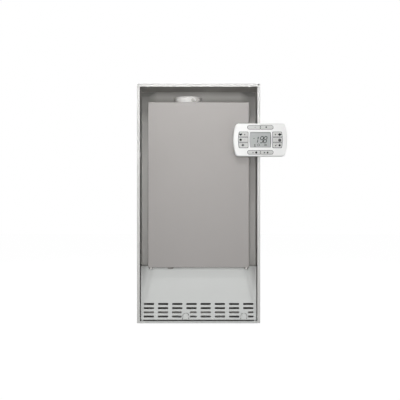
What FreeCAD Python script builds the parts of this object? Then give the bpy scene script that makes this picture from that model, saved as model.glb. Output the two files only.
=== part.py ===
import FreeCAD, Part
import math
import os

# Built-in condensing boiler: a recess box of folded sheet steel, the boiler hung inside it,
# and a remote control hooked on the right rim. Millimetres, +Z up, front towards -Y,
# origin in the middle of the recess box's underside.

# Recess box
box_width = 600.0
box_height = 1165.0
box_depth = 240.0
box_sheet = 1.5
box_bend = 1.0
rim_width = 14.0
bottom_rim = 9.0
rear_flange = 20.0
corner_relief = 2.0
pivot_hole_radius = 3.0
pivot_hole_inset = 8.0
pivot_hole_drop = 5.0
door_tab_width = 11.0
door_tab_drop = 2.5
door_tab_inset = 53.0
catch_tab_height = 24.0
catch_tab_drop = 345.0
wall_hole_radius = 4.5
wall_hole_spacing_x = 460.0
wall_hole_low_z = 140.0
wall_hole_top_drop = 125.0
knockout_groove_width = 1.6
knockout_groove_depth = 0.7

# Boiler casing
casing_width = 494.0
casing_bottom_z = 269.0
casing_top_space = 88.0
casing_recess = 12.0
casing_depth = 211.0
casing_sheet = 1.2
cover_return = 28.0
cover_bend = 4.0
cover_lap = 18.0
fit_gap = 0.3
cut_over = 1.0
boss_wall = 4.0

# Hanging bracket and rear frame
bracket_width = 300.0
bracket_height = 50.0
bracket_drop = 110.0
bracket_sheet = 2.0
bracket_lip = 14.0
bracket_bend = 0.5

# Flue
flue_x = -53.0
flue_y = 10.0
collar_radius = 70.0
collar_height = 36.0
collar_wall = 3.0
collar_lip = 6.0
collar_bore = 50.2
flue_bore = 30.1
flue_wall = 1.5
flue_socket = 16.0
flue_recess = 15.0
cap_radius = 8.0
cap_length = 7.0
cap_plug = 6.0
collar_step = 2.0
collar_chamfer = 1.5
collar_seat = 4.0
duct_gap = 4.0
duct_flange_z = 20.0
duct_flange = 2.0

# Heat exchanger and burner
exchanger_radius = 118.0
exchanger_wall = 8.0
exchanger_length = 120.0
exchanger_drop = 227.0
door_margin = 3.0
door_thickness = 10.0
burner_radius = 33.0
burner_length = 90.0
coil_turns = 5
coil_depth = 19.0
coil_groove = 3.0
port_length = 20.0
neck_length = 24.0
door_bolts = 6
door_bolt_radius = 6.0
door_bolt_inset = 9.0
door_bolt_head = 5.0
burner_sheet = 1.5
burner_flange = 7.0
burner_flange_thickness = 2.0
electrode_radius = 3.0
electrode_offset = 10.0
electrode_collar = 7.0
electrode_collar_length = 10.0
electrode_tail = 4.0
electrode_reach = 40.0
duct_height = 48.0
duct_depth = 38.0
duct_wall = 3.0

# Fan and gas-air mixer
fan_radius = 66.0
fan_depth = 48.0
fan_wall = 3.0
fan_x = 150.0
impeller_radius = 54.0
impeller_blades = 12
impeller_disc = 2.0
impeller_hub = 14.0
impeller_gap = 3.0
blade_thickness = 2.0
blade_angle = 28.0
fan_shaft_radius = 4.0
fan_motor_radius = 38.0
fan_motor_length = 18.0
fan_motor_round = 3.0
fan_outlet_setback = 14.0
fan_inlet_margin = 6.0
fan_shaft_gap = 2.0
running_clearance = 0.05
mixer_length = 90.0
mixer_radius = 32.0
mixer_throat = 17.0
mixer_wall = 3.0
mixer_flange = 6.0
mixer_flange_thickness = 4.0
mixer_stub = 12.0

# Gas valve
gas_valve_width = 90.0
gas_valve_depth = 70.0
gas_valve_height = 80.0
gas_valve_gap = 12.0
gas_valve_round = 6.0
gas_coil_length = 18.0
gas_nut_length = 10.0
gas_bore_depth = 20.0
gas_back_margin = 7.0
gas_pipe_radius = 8.0
gas_pipe_wall = 1.0

# Water side
pipe_radius = 11.0
pipe_wall = 1.2
pipe_bend = 30.0
pipe_pitch = 67.0
pipe_y = 25.0
block_depth = 54.0
block_height = 75.0
block_length = 180.0
block_round = 5.0
block_lift = 14.0
block_overhang = 22.0
pipe_seat = 8.0
pipe_seat_gap = 2.0
flow_pipe_inset = 6.0
diverter_width = 46.0
diverter_depth = 58.0
diverter_height = 56.0
diverter_gap = 8.0
diverter_round = 6.0
plate_length = 170.0
plate_height = 75.0
plate_depth = 54.0
plate_ribs = 12
plate_rib_inset = 1.5
plate_corner = 12.0
pump_radius = 48.0
pump_depth = 48.0
pump_x = 172.0
pump_motor_radius = 42.0
pump_motor_length = 74.0
pump_shaft_radius = 5.0
pump_vanes = 6
pump_wall = 4.0
pump_neck = 14.0
pump_flange = 6.0
pump_flange_inset = 2.0
pump_motor_round = 5.0
pump_bore_stop = 20.0
wheel_gap = 10.0
wheel_disc = 3.0
vane_thickness = 3.0
safety_inset = 18.0
safety_neck = 13.0
safety_cap = 16.0
safety_neck_length = 22.0
safety_length = 44.0
safety_round = 4.0
vessel_width = 300.0
vessel_gap = 12.0
vessel_depth = 58.0
vessel_x = -30.0
vessel_z = 400.0
vessel_wall = 1.5
vessel_corner = 40.0
vessel_round = 16.0
nipple_radius = 5.0
nipple_bore = 4.0
nipple_bend = 12.0
trap_cup_radius = 16.0
trap_radius = 24.0
trap_height = 140.0
trap_x = -139.0
trap_y = -62.0
trap_hang = 12.0
hose_radius = 9.0
hose_wall = 2.0
hose_lap = 18.0
drain_stub = 24.0
barb_length = 20.0
spigot_length = 16.0
trap_shoulder = 4.0
trap_cup_round = 6.0
elbow_margin = 1.0
drain_hose_gap = 3.0
electronics_width = 150.0
electronics_share = 0.33
electronics_depth = 45.0
electronics_gap = 56.0
electronics_lid = 6.0
electronics_lap = 2.0
electronics_round = 4.0
electronics_arm = 10.0
electronics_arm_inset = 20.0

# Service valves under the boiler
valve_height = 84.0
valve_low_z = 86.0
valve_radius = 17.0
valve_socket = 11.1
valve_socket_depth = 22.0
stem_radius = 4.0
stem_length = 12.0
lever_length = 45.0
lever_width = 13.0
lever_thickness = 4.0
lever_hub_radius = 10.0
lever_hub_length = 8.0
valve_neck = 3.0
valve_waist = 2.0
valve_ball = 14.0
valve_belt = 8.0
valve_nut = 3.0
valve_nut_height = 12.0
valve_boss_radius = 9.0
valve_boss_length = 8.0
gland_inset = 40.0
gland_radius = 9.0
gland_bore = 5.0
gland_low = 14.0
gland_high = 6.0
slot_margin_x = 30.0
slot_margin_y = 20.0

# Lower grille
grille_side_gap = 4.5
grille_taper = 7.0
grille_sheet = 1.2
grille_bottom_z = 14.0
grille_setback = 8.0
grille_depth = 75.0
grille_top_flange = 11.0
grille_bottom_flange = 15.0
slot_columns = 8
slot_rows = 4
slot_length = 50.0
slot_height = 9.0
slot_pitch_x = 69.6
slot_pitch_z = 19.5
slot_first_z = 29.8
arch_width = 32.0
arch_height = 31.0
arch_line = 2.2
arch_left_x = -62.6
arch_right_x = 221.0
arch_margin = 4.5
arch_bridge = 3.0
arch_bridge_reach = 8.0
arch_leg_bridge = 2.0
foot_width = 10.0

# Remote control
control_width = 260.0
control_height = 158.0
control_inset = 3.0
control_drop = 277.0
control_bulge = 13.5
control_corner = 17.0
plate_size_x = 110.0
plate_size_z = 96.0
plate_thickness = 3.0
shell_wall = 2.0
rear_shell_depth = 14.0
front_shell_depth = 21.0
front_wall = 2.5
front_round = 5.0
window_width = 105.0
window_height = 74.0
window_bulge = 2.5
board_thickness = 1.6
board_margin = 4.0
board_drop = 3.0
post_radius = 3.0
post_inset = 8.0
panel_margin = 1.0
window_corner = 4.0
plate_corner_radius = 8.0
key_raise = 1.2
key_gap = 1.6
key_inner_x = 59.0
key_outer_x = 106.0
key_rows = 3
key_field_height = 76.0
key_field_bulge = 5.0
key_spacing = 4.2
bar_half_length = 61.5
bar_height = 17.5
bar_z = 60.0
key_skirt = 0.3
key_skirt_thickness = 1.5
key_skirt_gap = 0.1
key_edge = 0.7
key_corner = 5.0
bar_inner_corner = 1.0
plunger_radius = 3.0
plunger_gap = 1.3
hook_spacing = 70.0
hook_width = 12.0
hook_stem = 4.0
hook_lip = 12.0
hook_travel = 14.0
hook_lip_thickness = 2.0
hook_rise = 8.0
hook_play = 1.0
screw_radius = 2.0
screw_head_radius = 4.5
screw_head_height = 2.2
thumb_radius = 9.0
thumb_height = 9.0
thumb_round = 2.0
thumb_shank = 5.0
control_screw_shank = 8.0

# Planes that several pieces share
half_width = box_width / 2
front_y = -box_depth / 2
back_y = box_depth / 2
back_face_y = back_y - 2 * box_sheet
cover_y = front_y + casing_recess
casing_back_y = cover_y + casing_depth
frame_y = casing_back_y - box_sheet
casing_half = casing_width / 2
casing_top_z = box_height - casing_top_space
wrap_y = cover_y + cover_return
grille_low_width = box_width - 2 * (rim_width + grille_side_gap)
grille_width = grille_low_width + 2 * grille_taper
floor_z = casing_bottom_z + casing_sheet
floor_top_z = floor_z + casing_sheet
exchanger_z = casing_top_z - exchanger_drop
gas_valve_z = exchanger_z - exchanger_radius - gas_valve_gap - gas_valve_height
coil_outer = exchanger_radius - exchanger_wall - coil_groove
coil_inner = coil_outer - coil_depth
exchanger_back_y = frame_y - exchanger_wall
exchanger_front_y = exchanger_back_y - exchanger_length
door_y = exchanger_front_y - door_thickness
door_radius = exchanger_radius - door_margin
fan_back_y = door_y + duct_wall
fan_front_y = fan_back_y - fan_depth
duct_end_x = fan_x - fan_radius - fan_outlet_setback
fan_z = exchanger_z + fan_radius - duct_height / 2
block_bottom_z = floor_top_z + block_lift
block_front_y = pipe_y - block_depth / 2
block_back_y = pipe_y + block_depth / 2
block_top_z = block_bottom_z + block_height
block_inner_x = pipe_pitch - block_overhang
block_outer_x = block_inner_x + block_length
pump_z = block_top_z + pump_radius + pump_neck
pump_back_y = pipe_y + pump_depth / 2
vessel_front_y = frame_y - vessel_depth
nipple_x = vessel_x - vessel_width * 0.3
nipple_y = vessel_front_y + vessel_depth / 2
vessel_height = exchanger_z - exchanger_radius - vessel_gap - vessel_z
electronics_z = pump_z + pump_motor_radius + electronics_gap
electronics_height = (fan_z - fan_radius - pump_z - pump_motor_radius) * electronics_share
pump_front_y = pipe_y - pump_depth / 2
valve_top_z = valve_low_z + valve_height
stem_z = valve_low_z + valve_height * 0.55
mixer_port_y = fan_back_y + mixer_length * 0.4
port_z = exchanger_radius * 0.5
port_x = math.sqrt(exchanger_radius ** 2 - port_z ** 2)
control_x = half_width - control_inset
control_z = box_height - control_drop
plate_y = front_y - plate_thickness
rear_y = plate_y - fit_gap
seam_y = rear_y - rear_shell_depth
control_front_y = seam_y - front_shell_depth
front_wall_y = control_front_y + front_wall
board_y = seam_y - board_drop


def point(x, y, z):
    return FreeCAD.Vector(x, y, z)


def block(x0, x1, y0, y1, z0, z1):
    return Part.makeBox(x1 - x0, y1 - y0, z1 - z0, point(x0, y0, z0))


def rod(radius, start, end):
    run = point(*end) - point(*start)
    return Part.makeCylinder(radius, run.Length, point(*start), run)


def upright(radius, x, y, low, high):
    return rod(radius, (x, y, low), (x, y, high))


def lying(radius, x, z, front, back):
    return rod(radius, (x, front, z), (x, back, z))


def tube(outer, inner, start, end):
    return rod(outer, start, end).cut(rod(inner, start, end))


def join(shapes):
    whole = shapes[0]
    for shape in shapes[1:]:
        whole = whole.fuse(shape)
    return whole.removeSplitter()


def plan(u, v):
    return point(u, v, 0)


def facing(u, v):
    return point(u, 0, v)


def section(u, v):
    return point(0, u, v)


def rounded_wire(points, radii, place, closed=True):
    # Lines between the points with a tangent arc at each rounded corner
    count = len(points)
    stops = []
    edges = []
    for index in range(count):
        corner = place(*points[index])
        before = place(*points[index - 1]) - corner
        after = place(*points[(index + 1) % count]) - corner
        radius = radii[index]
        if not closed and index in (0, count - 1):
            radius = 0
        if radius == 0:
            stops.append((corner, corner, corner))
            continue
        before.normalize()
        after.normalize()
        half = before.getAngle(after) / 2
        reach = radius / math.tan(half)
        inward = before + after
        inward.normalize()
        middle = corner + inward * (radius / math.sin(half) - radius)
        stops.append((corner + before * reach, middle, corner + after * reach))
    for index, (start, middle, end) in enumerate(stops):
        last = stops[index - 1][2]
        if (index > 0 or closed) and (last - start).Length > 1e-6:
            edges.append(Part.LineSegment(last, start).toShape())
        if (start - end).Length > 1e-6:
            edges.append(Part.Arc(start, middle, end).toShape())
    return Part.Wire(Part.__sortEdges__(edges))


def prism(points, radius, place, start, length):
    # Flat outline pushed along its own normal, from start over length
    face = Part.Face(rounded_wire(points, [radius] * len(points), place))
    normal = place(1, 0).cross(place(0, 1))
    along = point(abs(normal.x), abs(normal.y), abs(normal.z))
    face.translate(along * start)
    return face.extrude(along * length)


def folded(points, sheet, bend, place, start, length):
    # Folded sheet: the points run along its outer face and the metal lies to their left
    offsets = []
    turns = []
    normals = []
    for (ax, ay), (bx, by) in zip(points, points[1:]):
        run = math.hypot(bx - ax, by - ay)
        normals.append((-(by - ay) / run, (bx - ax) / run))
    for index, (px, py) in enumerate(points):
        n1 = normals[max(index - 1, 0)]
        n2 = normals[min(index, len(normals) - 1)]
        scale = sheet / (1 + n1[0] * n2[0] + n1[1] * n2[1])
        offsets.append((px + (n1[0] + n2[0]) * scale, py + (n1[1] + n2[1]) * scale))
        turns.append(n1[0] * n2[1] - n1[1] * n2[0])
    outer = [0 if t == 0 else bend + sheet if t > 0 else bend for t in turns]
    inner = [0 if t == 0 else bend if t > 0 else bend + sheet for t in turns]
    wire = rounded_wire(points + offsets[::-1], outer + inner[::-1], place)
    normal = place(1, 0).cross(place(0, 1))
    along = point(abs(normal.x), abs(normal.y), abs(normal.z))
    face = Part.Face(wire)
    face.translate(along * start)
    return face.extrude(along * length)


def bent_tube(points, outer, inner, bend):
    # Round tube along straight runs joined by tangent bends
    corners = [tuple(p) for p in points]
    path = rounded_wire(corners, [bend] * len(corners), point, closed=False)
    start = point(*corners[0])
    run = point(*corners[1]) - start

    def skin(radius):
        ring = Part.Wire([Part.makeCircle(radius, start, run)])
        return path.makePipeShell([ring], True, False)

    return skin(outer).cut(skin(inner))


def turned(profile, x, y, z, axis):
    # Closed profile of (radius, height) pairs turned about an axis through a point
    ring = [point(r, 0, h) for r, h in profile]
    face = Part.Face(Part.makePolygon(ring + ring[:1]))
    solid = face.revolve(point(0, 0, 0), point(0, 0, 1), 360)
    solid.Placement = FreeCAD.Placement(point(x, y, z), FreeCAD.Rotation(point(0, 0, 1), axis))
    return solid


def soften(shape, radius, wanted):
    return shape.makeFillet(radius, [edge for edge in shape.Edges if wanted(edge)])


def mirrored(shape):
    return shape.mirror(point(0, 0, 0), point(1, 0, 0))


def along_y(edge):
    box = edge.BoundBox
    return box.YLength > 1e-3 and box.XLength < 1e-3 and box.ZLength < 1e-3


# Recess box

def box_side():
    # Left side: rear flange, web and front rim folded from one sheet
    run = [
        (-half_width + rear_flange, back_y),
        (-half_width, back_y),
        (-half_width, front_y),
        (-half_width + rim_width, front_y),
    ]
    side = folded(run, box_sheet, box_bend, plan, 0, box_height)
    pivot_x = -half_width + pivot_hole_inset
    pivot_z = box_height - pivot_hole_drop
    hole = lying(pivot_hole_radius, pivot_x, pivot_z, front_y - cut_over, front_y + box_sheet + cut_over)
    return side.cut(hole)


def box_left_side():
    tab_x = -half_width + rim_width
    low = box_height - catch_tab_drop - catch_tab_height / 2
    tab = block(tab_x, tab_x + door_tab_drop, front_y, front_y + box_sheet, low, low + catch_tab_height)
    return join([box_side(), tab])


def box_right_side():
    # The rim carries the control's wall plate on two screws
    side = mirrored(box_side())
    for z in plate_screw_heights():
        x = plate_screw_x()
        hole = lying(screw_radius + fit_gap, x, z, front_y - cut_over, front_y + box_sheet + cut_over)
        side = side.cut(hole)
    return side


def notch_corners(panel):
    # Flanges of the top and bottom panel stop short of the side panels' flanges
    for side in (-1, 1):
        rim_x = side * (half_width - rim_width)
        rear_x = side * (half_width - rear_flange)
        edge_x = side * half_width
        low_x, high_x = sorted((rim_x, edge_x))
        front = block(low_x, high_x, front_y, front_y + box_sheet + corner_relief, 0, box_height)
        low_x, high_x = sorted((rear_x, edge_x))
        rear = block(low_x, high_x, back_y - box_sheet - corner_relief, back_y, 0, box_height)
        panel = panel.cut(front).cut(rear)
    return panel


def box_top_panel():
    run = [
        (back_y, box_height - rear_flange),
        (back_y, box_height),
        (front_y, box_height),
        (front_y, box_height - rim_width),
    ]
    inner = half_width - box_sheet
    panel = notch_corners(folded(run, box_sheet, box_bend, section, -inner, 2 * inner))
    rim_z = box_height - rim_width
    tab_offset = half_width - door_tab_inset
    for x in (-tab_offset, tab_offset):
        low = x - door_tab_width / 2
        tab = block(low, low + door_tab_width, front_y, front_y + box_sheet, rim_z - door_tab_drop, rim_z)
        panel = join([panel, tab])
    # Round knock-out for a flue led straight up
    groove = tube(
        collar_bore + knockout_groove_width, collar_bore,
        (flue_x, flue_y, box_height - knockout_groove_depth), (flue_x, flue_y, box_height + cut_over),
    )
    return panel.cut(groove)


def pipe_slot_bounds():
    reach = 2 * pipe_pitch + slot_margin_x
    return -reach, reach, pipe_y - slot_margin_y, pipe_y + slot_margin_y


def box_bottom_panel():
    run = [(front_y, bottom_rim), (front_y, 0), (back_y, 0), (back_y, rear_flange)]
    inner = half_width - box_sheet
    panel = notch_corners(folded(run, box_sheet, box_bend, section, -inner, 2 * inner))
    x0, x1, y0, y1 = pipe_slot_bounds()
    return panel.cut(block(x0, x1, y0, y1, -cut_over, box_sheet + cut_over))


def box_back_panel():
    inner = half_width - box_sheet - box_bend
    low = box_sheet + box_bend
    panel = block(-inner, inner, back_face_y, back_face_y + box_sheet, low, box_height - low)
    for x in (-wall_hole_spacing_x / 2, wall_hole_spacing_x / 2):
        for z in (wall_hole_low_z, box_height - wall_hole_top_drop):
            panel = panel.cut(lying(wall_hole_radius, x, z, back_face_y - cut_over, back_y + cut_over))
    return panel


def lower_grille():
    # Inclined panel, narrower below: its top flange lies under the boiler, its feet stand on the floor
    low_y = front_y + grille_setback
    high_y = low_y + grille_depth
    run = [
        (high_y + grille_top_flange, casing_bottom_z),
        (high_y, casing_bottom_z),
        (low_y, grille_bottom_z),
        (low_y + grille_bottom_flange, grille_bottom_z),
    ]
    half = grille_width / 2
    low_half = grille_low_width / 2
    panel = folded(run, grille_sheet, grille_sheet, section, -half, grille_width)
    outline = [
        (-half, casing_bottom_z), (-low_half, grille_bottom_z),
        (low_half, grille_bottom_z), (half, casing_bottom_z),
    ]
    panel = panel.common(prism(outline, 0, facing, front_y, box_depth))
    foot_y = low_y + grille_bottom_flange
    for x0 in (-low_half, low_half - foot_width):
        x1 = x0 + foot_width
        foot = block(x0, x1, foot_y - grille_sheet, foot_y, box_sheet, grille_bottom_z + grille_sheet)
        panel = join([panel, foot])
    return panel.cut(Part.makeCompound(grille_slots() + arch_lines()))


def grille_slots():
    slots = []
    for column in range(slot_columns):
        middle = (column - (slot_columns - 1) / 2) * slot_pitch_x
        for row in range(slot_rows):
            z = slot_first_z + row * slot_pitch_z
            x0 = middle - slot_length / 2
            x1 = middle + slot_length / 2
            for arch_x in (arch_left_x, arch_right_x):
                near = arch_width / 2 + arch_margin
                beside = row < slot_rows // 2
                if beside and x0 < arch_x + near and x1 > arch_x - near:
                    if arch_x > middle:
                        x1 = arch_x - near
                    else:
                        x0 = arch_x + near
            half = slot_height / 2
            corners = [(x0, z - half), (x1, z - half), (x1, z + half), (x0, z + half)]
            slots.append(prism(corners, half * 0.6, facing, front_y, grille_depth))
    return slots


def arch_lines():
    # Cut line of each pipe knock-out, left bridged at the crown and half way up both legs
    lines = []
    low = grille_bottom_z + 2 * grille_sheet
    for x in (arch_left_x, arch_right_x):
        outer = arch_shape(arch_width / 2, arch_height - arch_width / 2)
        inner = arch_shape(arch_width / 2 - arch_line, arch_height - arch_width / 2)
        line = outer.cut(inner)
        crown_low = arch_height - arch_bridge_reach
        crown_high = arch_height + arch_bridge_reach
        crown = block(-arch_bridge / 2, arch_bridge / 2, front_y, 0, crown_low, crown_high)
        leg_low = arch_height / 3
        legs = block(-arch_width, arch_width, front_y, 0, leg_low, leg_low + arch_leg_bridge)
        line = line.cut(crown).cut(legs)
        line.translate(point(x, 0, low))
        lines.append(line)
    return lines


def arch_shape(radius, leg):
    post = block(-radius, radius, front_y, 0, 0, leg)
    return join([post, rod(radius, (0, front_y, leg), (0, 0, leg))])


# Boiler casing

def hanging_bracket():
    # Step-shaped rail on the back panel; the rear frame's hook drops over its upturned lip
    top = casing_top_z - bracket_drop
    low = top - bracket_height
    step = casing_back_y + 2 * bracket_sheet
    run = [
        (back_face_y, low),
        (back_face_y, top),
        (step, top),
        (step, top + bracket_lip),
    ]
    half = bracket_width / 2
    return folded(run, bracket_sheet, bracket_bend, section, -half, bracket_width)


def rear_frame():
    # Flat chassis sheet with a hook strip folded over the bracket's lip
    inner = casing_half - casing_sheet
    high = casing_top_z - casing_sheet
    corners = [(-inner, floor_top_z), (inner, floor_top_z), (inner, high), (-inner, high)]
    sheet = prism(corners, cover_bend, facing, frame_y, box_sheet)
    top = casing_top_z - bracket_drop
    lip_top = top + bracket_lip + fit_gap
    lip_back = casing_back_y + 2 * bracket_sheet + fit_gap
    half = bracket_width / 2
    arm = block(-half, half, casing_back_y, lip_back + bracket_sheet, lip_top, lip_top + bracket_sheet)
    hook = block(-half, half, lip_back, lip_back + bracket_sheet, top + bracket_sheet, lip_top)
    return join([sheet, arm, hook])


def casing_wrap():
    # Left side, top and right side folded from one sheet
    run = [
        (casing_half, casing_bottom_z),
        (casing_half, casing_top_z),
        (-casing_half, casing_top_z),
        (-casing_half, casing_bottom_z),
    ]
    wrap = folded(run, casing_sheet, cover_bend - casing_sheet, facing, wrap_y, casing_back_y - wrap_y)
    low = casing_top_z - casing_sheet - cut_over
    opening = upright(collar_bore - collar_seat, flue_x, flue_y, low, casing_top_z + cut_over)
    return wrap.cut(opening)


def casing_floor():
    # Bottom sheet with pipe holes, a hole for the trap's cup and a cable gland
    inner = casing_half - casing_sheet
    lap_y = wrap_y - cover_lap
    main = block(-inner, inner, wrap_y, frame_y, floor_z, floor_top_z)
    lap_half = inner - cover_bend
    lap = block(-lap_half, lap_half, lap_y, wrap_y, floor_z, floor_top_z)
    gland_x = casing_half - gland_inset
    gland_y = pipe_y
    gland_ends = (gland_x, gland_y, floor_z - gland_low), (gland_x, gland_y, floor_top_z + gland_high)
    gland = rod(gland_radius, *gland_ends)
    floor = join([main, lap, gland])
    holes = [rod(gland_bore, *gland_ends)]
    for x in pipe_positions():
        radius = pipe_radius if x else gas_pipe_radius
        holes.append(floor_hole(radius, x, pipe_y))
    holes.append(floor_hole(trap_cup_radius, trap_x, trap_y))
    holes.append(floor_hole(hose_radius, trap_x, drain_hose_y()))
    for x in thumb_positions():
        holes.append(floor_hole(screw_radius, x, thumb_y()))
    return floor.cut(Part.makeCompound(holes))


def floor_hole(radius, x, y):
    return upright(radius + fit_gap, x, y, floor_z - cut_over, floor_top_z + cut_over)


def thumb_positions():
    offset = casing_half - cover_bend - thumb_radius
    return -offset, offset


def thumb_y():
    return wrap_y - cover_lap / 2


def front_cover():
    # Tray with softly bent edges, screwed to the floor's front lap
    outer = block(-casing_half, casing_half, cover_y, wrap_y, casing_bottom_z, casing_top_z)
    outer = soften(outer, cover_bend, along_y)
    outer = soften(outer, cover_bend * 0.6, lambda e: e.BoundBox.YMax < cover_y + 1e-3)
    inner_half = casing_half - casing_sheet
    low = casing_bottom_z + casing_sheet
    high = casing_top_z - casing_sheet
    hollow = block(-inner_half, inner_half, cover_y + casing_sheet, wrap_y + cut_over, low, high)
    hollow = soften(hollow, cover_bend - casing_sheet, along_y)
    cover = outer.cut(hollow)
    for x in thumb_positions():
        hole = upright(screw_radius + fit_gap, x, thumb_y(), casing_bottom_z - cut_over, low + cut_over)
        cover = cover.cut(hole)
    return cover


def cover_screws():
    screws = []
    for x in thumb_positions():
        y = thumb_y()
        head_low = casing_bottom_z - thumb_height
        head = upright(thumb_radius, x, y, head_low, casing_bottom_z)
        head = soften(head, thumb_round, lambda e: e.BoundBox.ZMax < head_low + 1e-3)
        shank = upright(screw_radius, x, y, casing_bottom_z - thumb_round, floor_top_z + thumb_shank)
        screws.append(join([head, shank]))
    return Part.makeCompound(screws)


def flue_collar():
    # Double-walled socket for the outer air pipe, lipped at the top
    top = collar_height
    body = collar_radius - collar_wall
    socket = collar_bore + collar_wall
    profile = [
        (collar_bore - collar_seat, 0), (collar_radius, 0), (collar_radius, collar_wall),
        (body, collar_wall + collar_step), (body, top - collar_lip),
        (collar_radius, top - collar_lip + collar_step), (collar_radius, top - collar_chamfer),
        (collar_radius - collar_chamfer, top), (collar_bore, top), (collar_bore, collar_wall),
        (collar_bore - collar_seat, collar_wall),
    ]
    collar = turned(profile, flue_x, flue_y, casing_top_z, point(0, 0, 1))
    cavity_high = casing_top_z + top - collar_wall
    cavity = tube(
        body - collar_wall, socket,
        (flue_x, flue_y, casing_top_z + collar_wall), (flue_x, flue_y, cavity_high),
    )
    collar = collar.cut(cavity)
    return collar.cut(Part.makeCompound([test_port(x, cap_radius * 0.5) for x in cap_positions()]))


def cap_positions():
    return flue_x + collar_radius * 0.35, flue_x + collar_radius * 0.68


def cap_surface_y(x):
    body = collar_radius - collar_wall
    return flue_y - math.sqrt(body ** 2 - (x - flue_x) ** 2)


def test_port(x, radius):
    y = cap_surface_y(x)
    z = casing_top_z + collar_height * 0.5
    return lying(radius, x, z, y - cap_radius, y + cap_radius)


def flue_test_caps():
    # Plugs of the two measuring points on the collar's front
    caps = []
    body = collar_radius - collar_wall
    drum = upright(body + fit_gap, flue_x, flue_y, casing_top_z, casing_top_z + collar_height)
    for x in cap_positions():
        y = cap_surface_y(x)
        z = casing_top_z + collar_height * 0.5
        head = lying(cap_radius, x, z, y - cap_length, y + cap_radius).cut(drum)
        plug = lying(cap_radius * 0.5 - fit_gap, x, z, y - cap_length + cut_over, y + cap_plug)
        caps.append(join([head, plug]))
    return Part.makeCompound(caps)


def flue_duct():
    # Flue pipe from the heat exchanger, widened at the top into the socket
    low = exchanger_z + exchanger_radius + duct_gap
    high = casing_top_z + collar_height - flue_recess
    outer = flue_bore + flue_wall
    pipe = tube(
        flue_bore - flue_wall, flue_bore - 2 * flue_wall,
        (flue_x, flue_y, low), (flue_x, flue_y, high - flue_socket),
    )
    cup = tube(outer, flue_bore, (flue_x, flue_y, high - flue_socket), (flue_x, flue_y, high))
    step = tube(
        outer, flue_bore - 2 * flue_wall,
        (flue_x, flue_y, high - flue_socket - flue_wall), (flue_x, flue_y, high - flue_socket),
    )
    foot = tube(
        flue_bore + boss_wall, flue_bore - 2 * flue_wall,
        (flue_x, flue_y, low + duct_flange_z), (flue_x, flue_y, low + duct_flange_z + duct_flange),
    )
    return join([pipe, cup, step, foot])


# Heat exchanger and burner

def exchanger_shell():
    centre = (flue_x, exchanger_front_y, exchanger_z)
    back = (flue_x, exchanger_back_y, exchanger_z)
    drum = rod(exchanger_radius, centre, back)
    foot = rod(exchanger_radius * 0.5, back, (flue_x, frame_y, exchanger_z))
    top = exchanger_z + exchanger_radius
    neck = upright(flue_bore + boss_wall, flue_x, flue_y, exchanger_z, top + neck_length)
    left_z = exchanger_z + port_z
    right_z = exchanger_z - port_z
    left_x = flue_x - port_x - port_length
    right_x = flue_x + port_x + port_length
    left = rod(pipe_radius + boss_wall, (flue_x, pipe_y, left_z), (left_x, pipe_y, left_z))
    right = rod(pipe_radius + boss_wall, (flue_x, pipe_y, right_z), (right_x, pipe_y, right_z))
    drain = upright(hose_radius - hose_wall - fit_gap, drain_x(), 0, drain_z(), exchanger_z)
    body = join([drum, foot, neck, left, right, drain])
    cavity_front = exchanger_front_y - cut_over
    cavity_back = exchanger_back_y - exchanger_wall
    bore = pipe_radius - pipe_wall
    bores = [
        lying(exchanger_radius - exchanger_wall, flue_x, exchanger_z, cavity_front, cavity_back),
        upright(flue_bore - flue_wall + fit_gap, flue_x, flue_y, exchanger_z, top + neck_length + cut_over),
        rod(bore, (flue_x, pipe_y, left_z), (left_x - cut_over, pipe_y, left_z)),
        rod(bore, (flue_x, pipe_y, right_z), (right_x + cut_over, pipe_y, right_z)),
        upright(hose_radius - 2 * hose_wall, drain_x(), 0, drain_z() - cut_over, exchanger_z),
    ]
    return body.cut(Part.makeCompound(bores))


def drain_x():
    return flue_x - exchanger_radius * 0.3


def drain_z():
    return exchanger_z - exchanger_radius - drain_stub


def exchanger_coil():
    # Bank of tube turns around the burner, standing on the shell's back wall
    back = exchanger_back_y - exchanger_wall
    front = exchanger_front_y + exchanger_wall
    outer = coil_outer
    pitch = (back - front) / coil_turns
    bite = coil_groove
    profile = [(coil_inner, 0)]
    for turn in range(coil_turns):
        start = turn * pitch
        profile += [(outer - bite, start), (outer, start + bite), (outer, start + pitch - bite)]
        profile += [(outer - bite, start + pitch)]
    profile.append((coil_inner, coil_turns * pitch))
    return turned(profile, flue_x, front, exchanger_z, point(0, 1, 0))


def electrode_positions():
    height = exchanger_z + (burner_radius + coil_inner) / 2
    return [(flue_x - electrode_offset, height), (flue_x + electrode_offset, height)]


def burner_door():
    # Cast door with the mixing duct that brings gas and air from the fan
    plate = rod(door_radius, (flue_x, door_y, exchanger_z), (flue_x, exchanger_front_y, exchanger_z))
    half = duct_height / 2
    duct_y = door_y - duct_depth
    straight = block(flue_x, duct_end_x, duct_y, door_y, exchanger_z - half, exchanger_z + half)
    head = rod(half, (flue_x, duct_y, exchanger_z), (flue_x, door_y, exchanger_z))
    bolts = []
    for step in range(door_bolts):
        angle = 2 * math.pi * (step + 0.5) / door_bolts
        x = flue_x + (door_radius - door_bolt_inset) * math.cos(angle)
        z = exchanger_z + (door_radius - door_bolt_inset) * math.sin(angle)
        bolts.append(lying(door_bolt_radius, x, z, door_y - door_bolt_head, door_y))
    casting = join([plate, straight, head] + bolts)
    inner = half - duct_wall
    hollow = block(
        flue_x, duct_end_x + cut_over, duct_y + duct_wall, door_y, exchanger_z - inner, exchanger_z + inner,
    )
    mouth = lying(inner, flue_x, exchanger_z, duct_y + duct_wall, exchanger_front_y + cut_over)
    holes = [hollow, mouth]
    for x, z in electrode_positions():
        holes.append(lying(electrode_radius + fit_gap, x, z, door_y - cut_over, exchanger_front_y + cut_over))
    return casting.cut(join(holes[:2])).cut(Part.makeCompound(holes[2:]))


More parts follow.
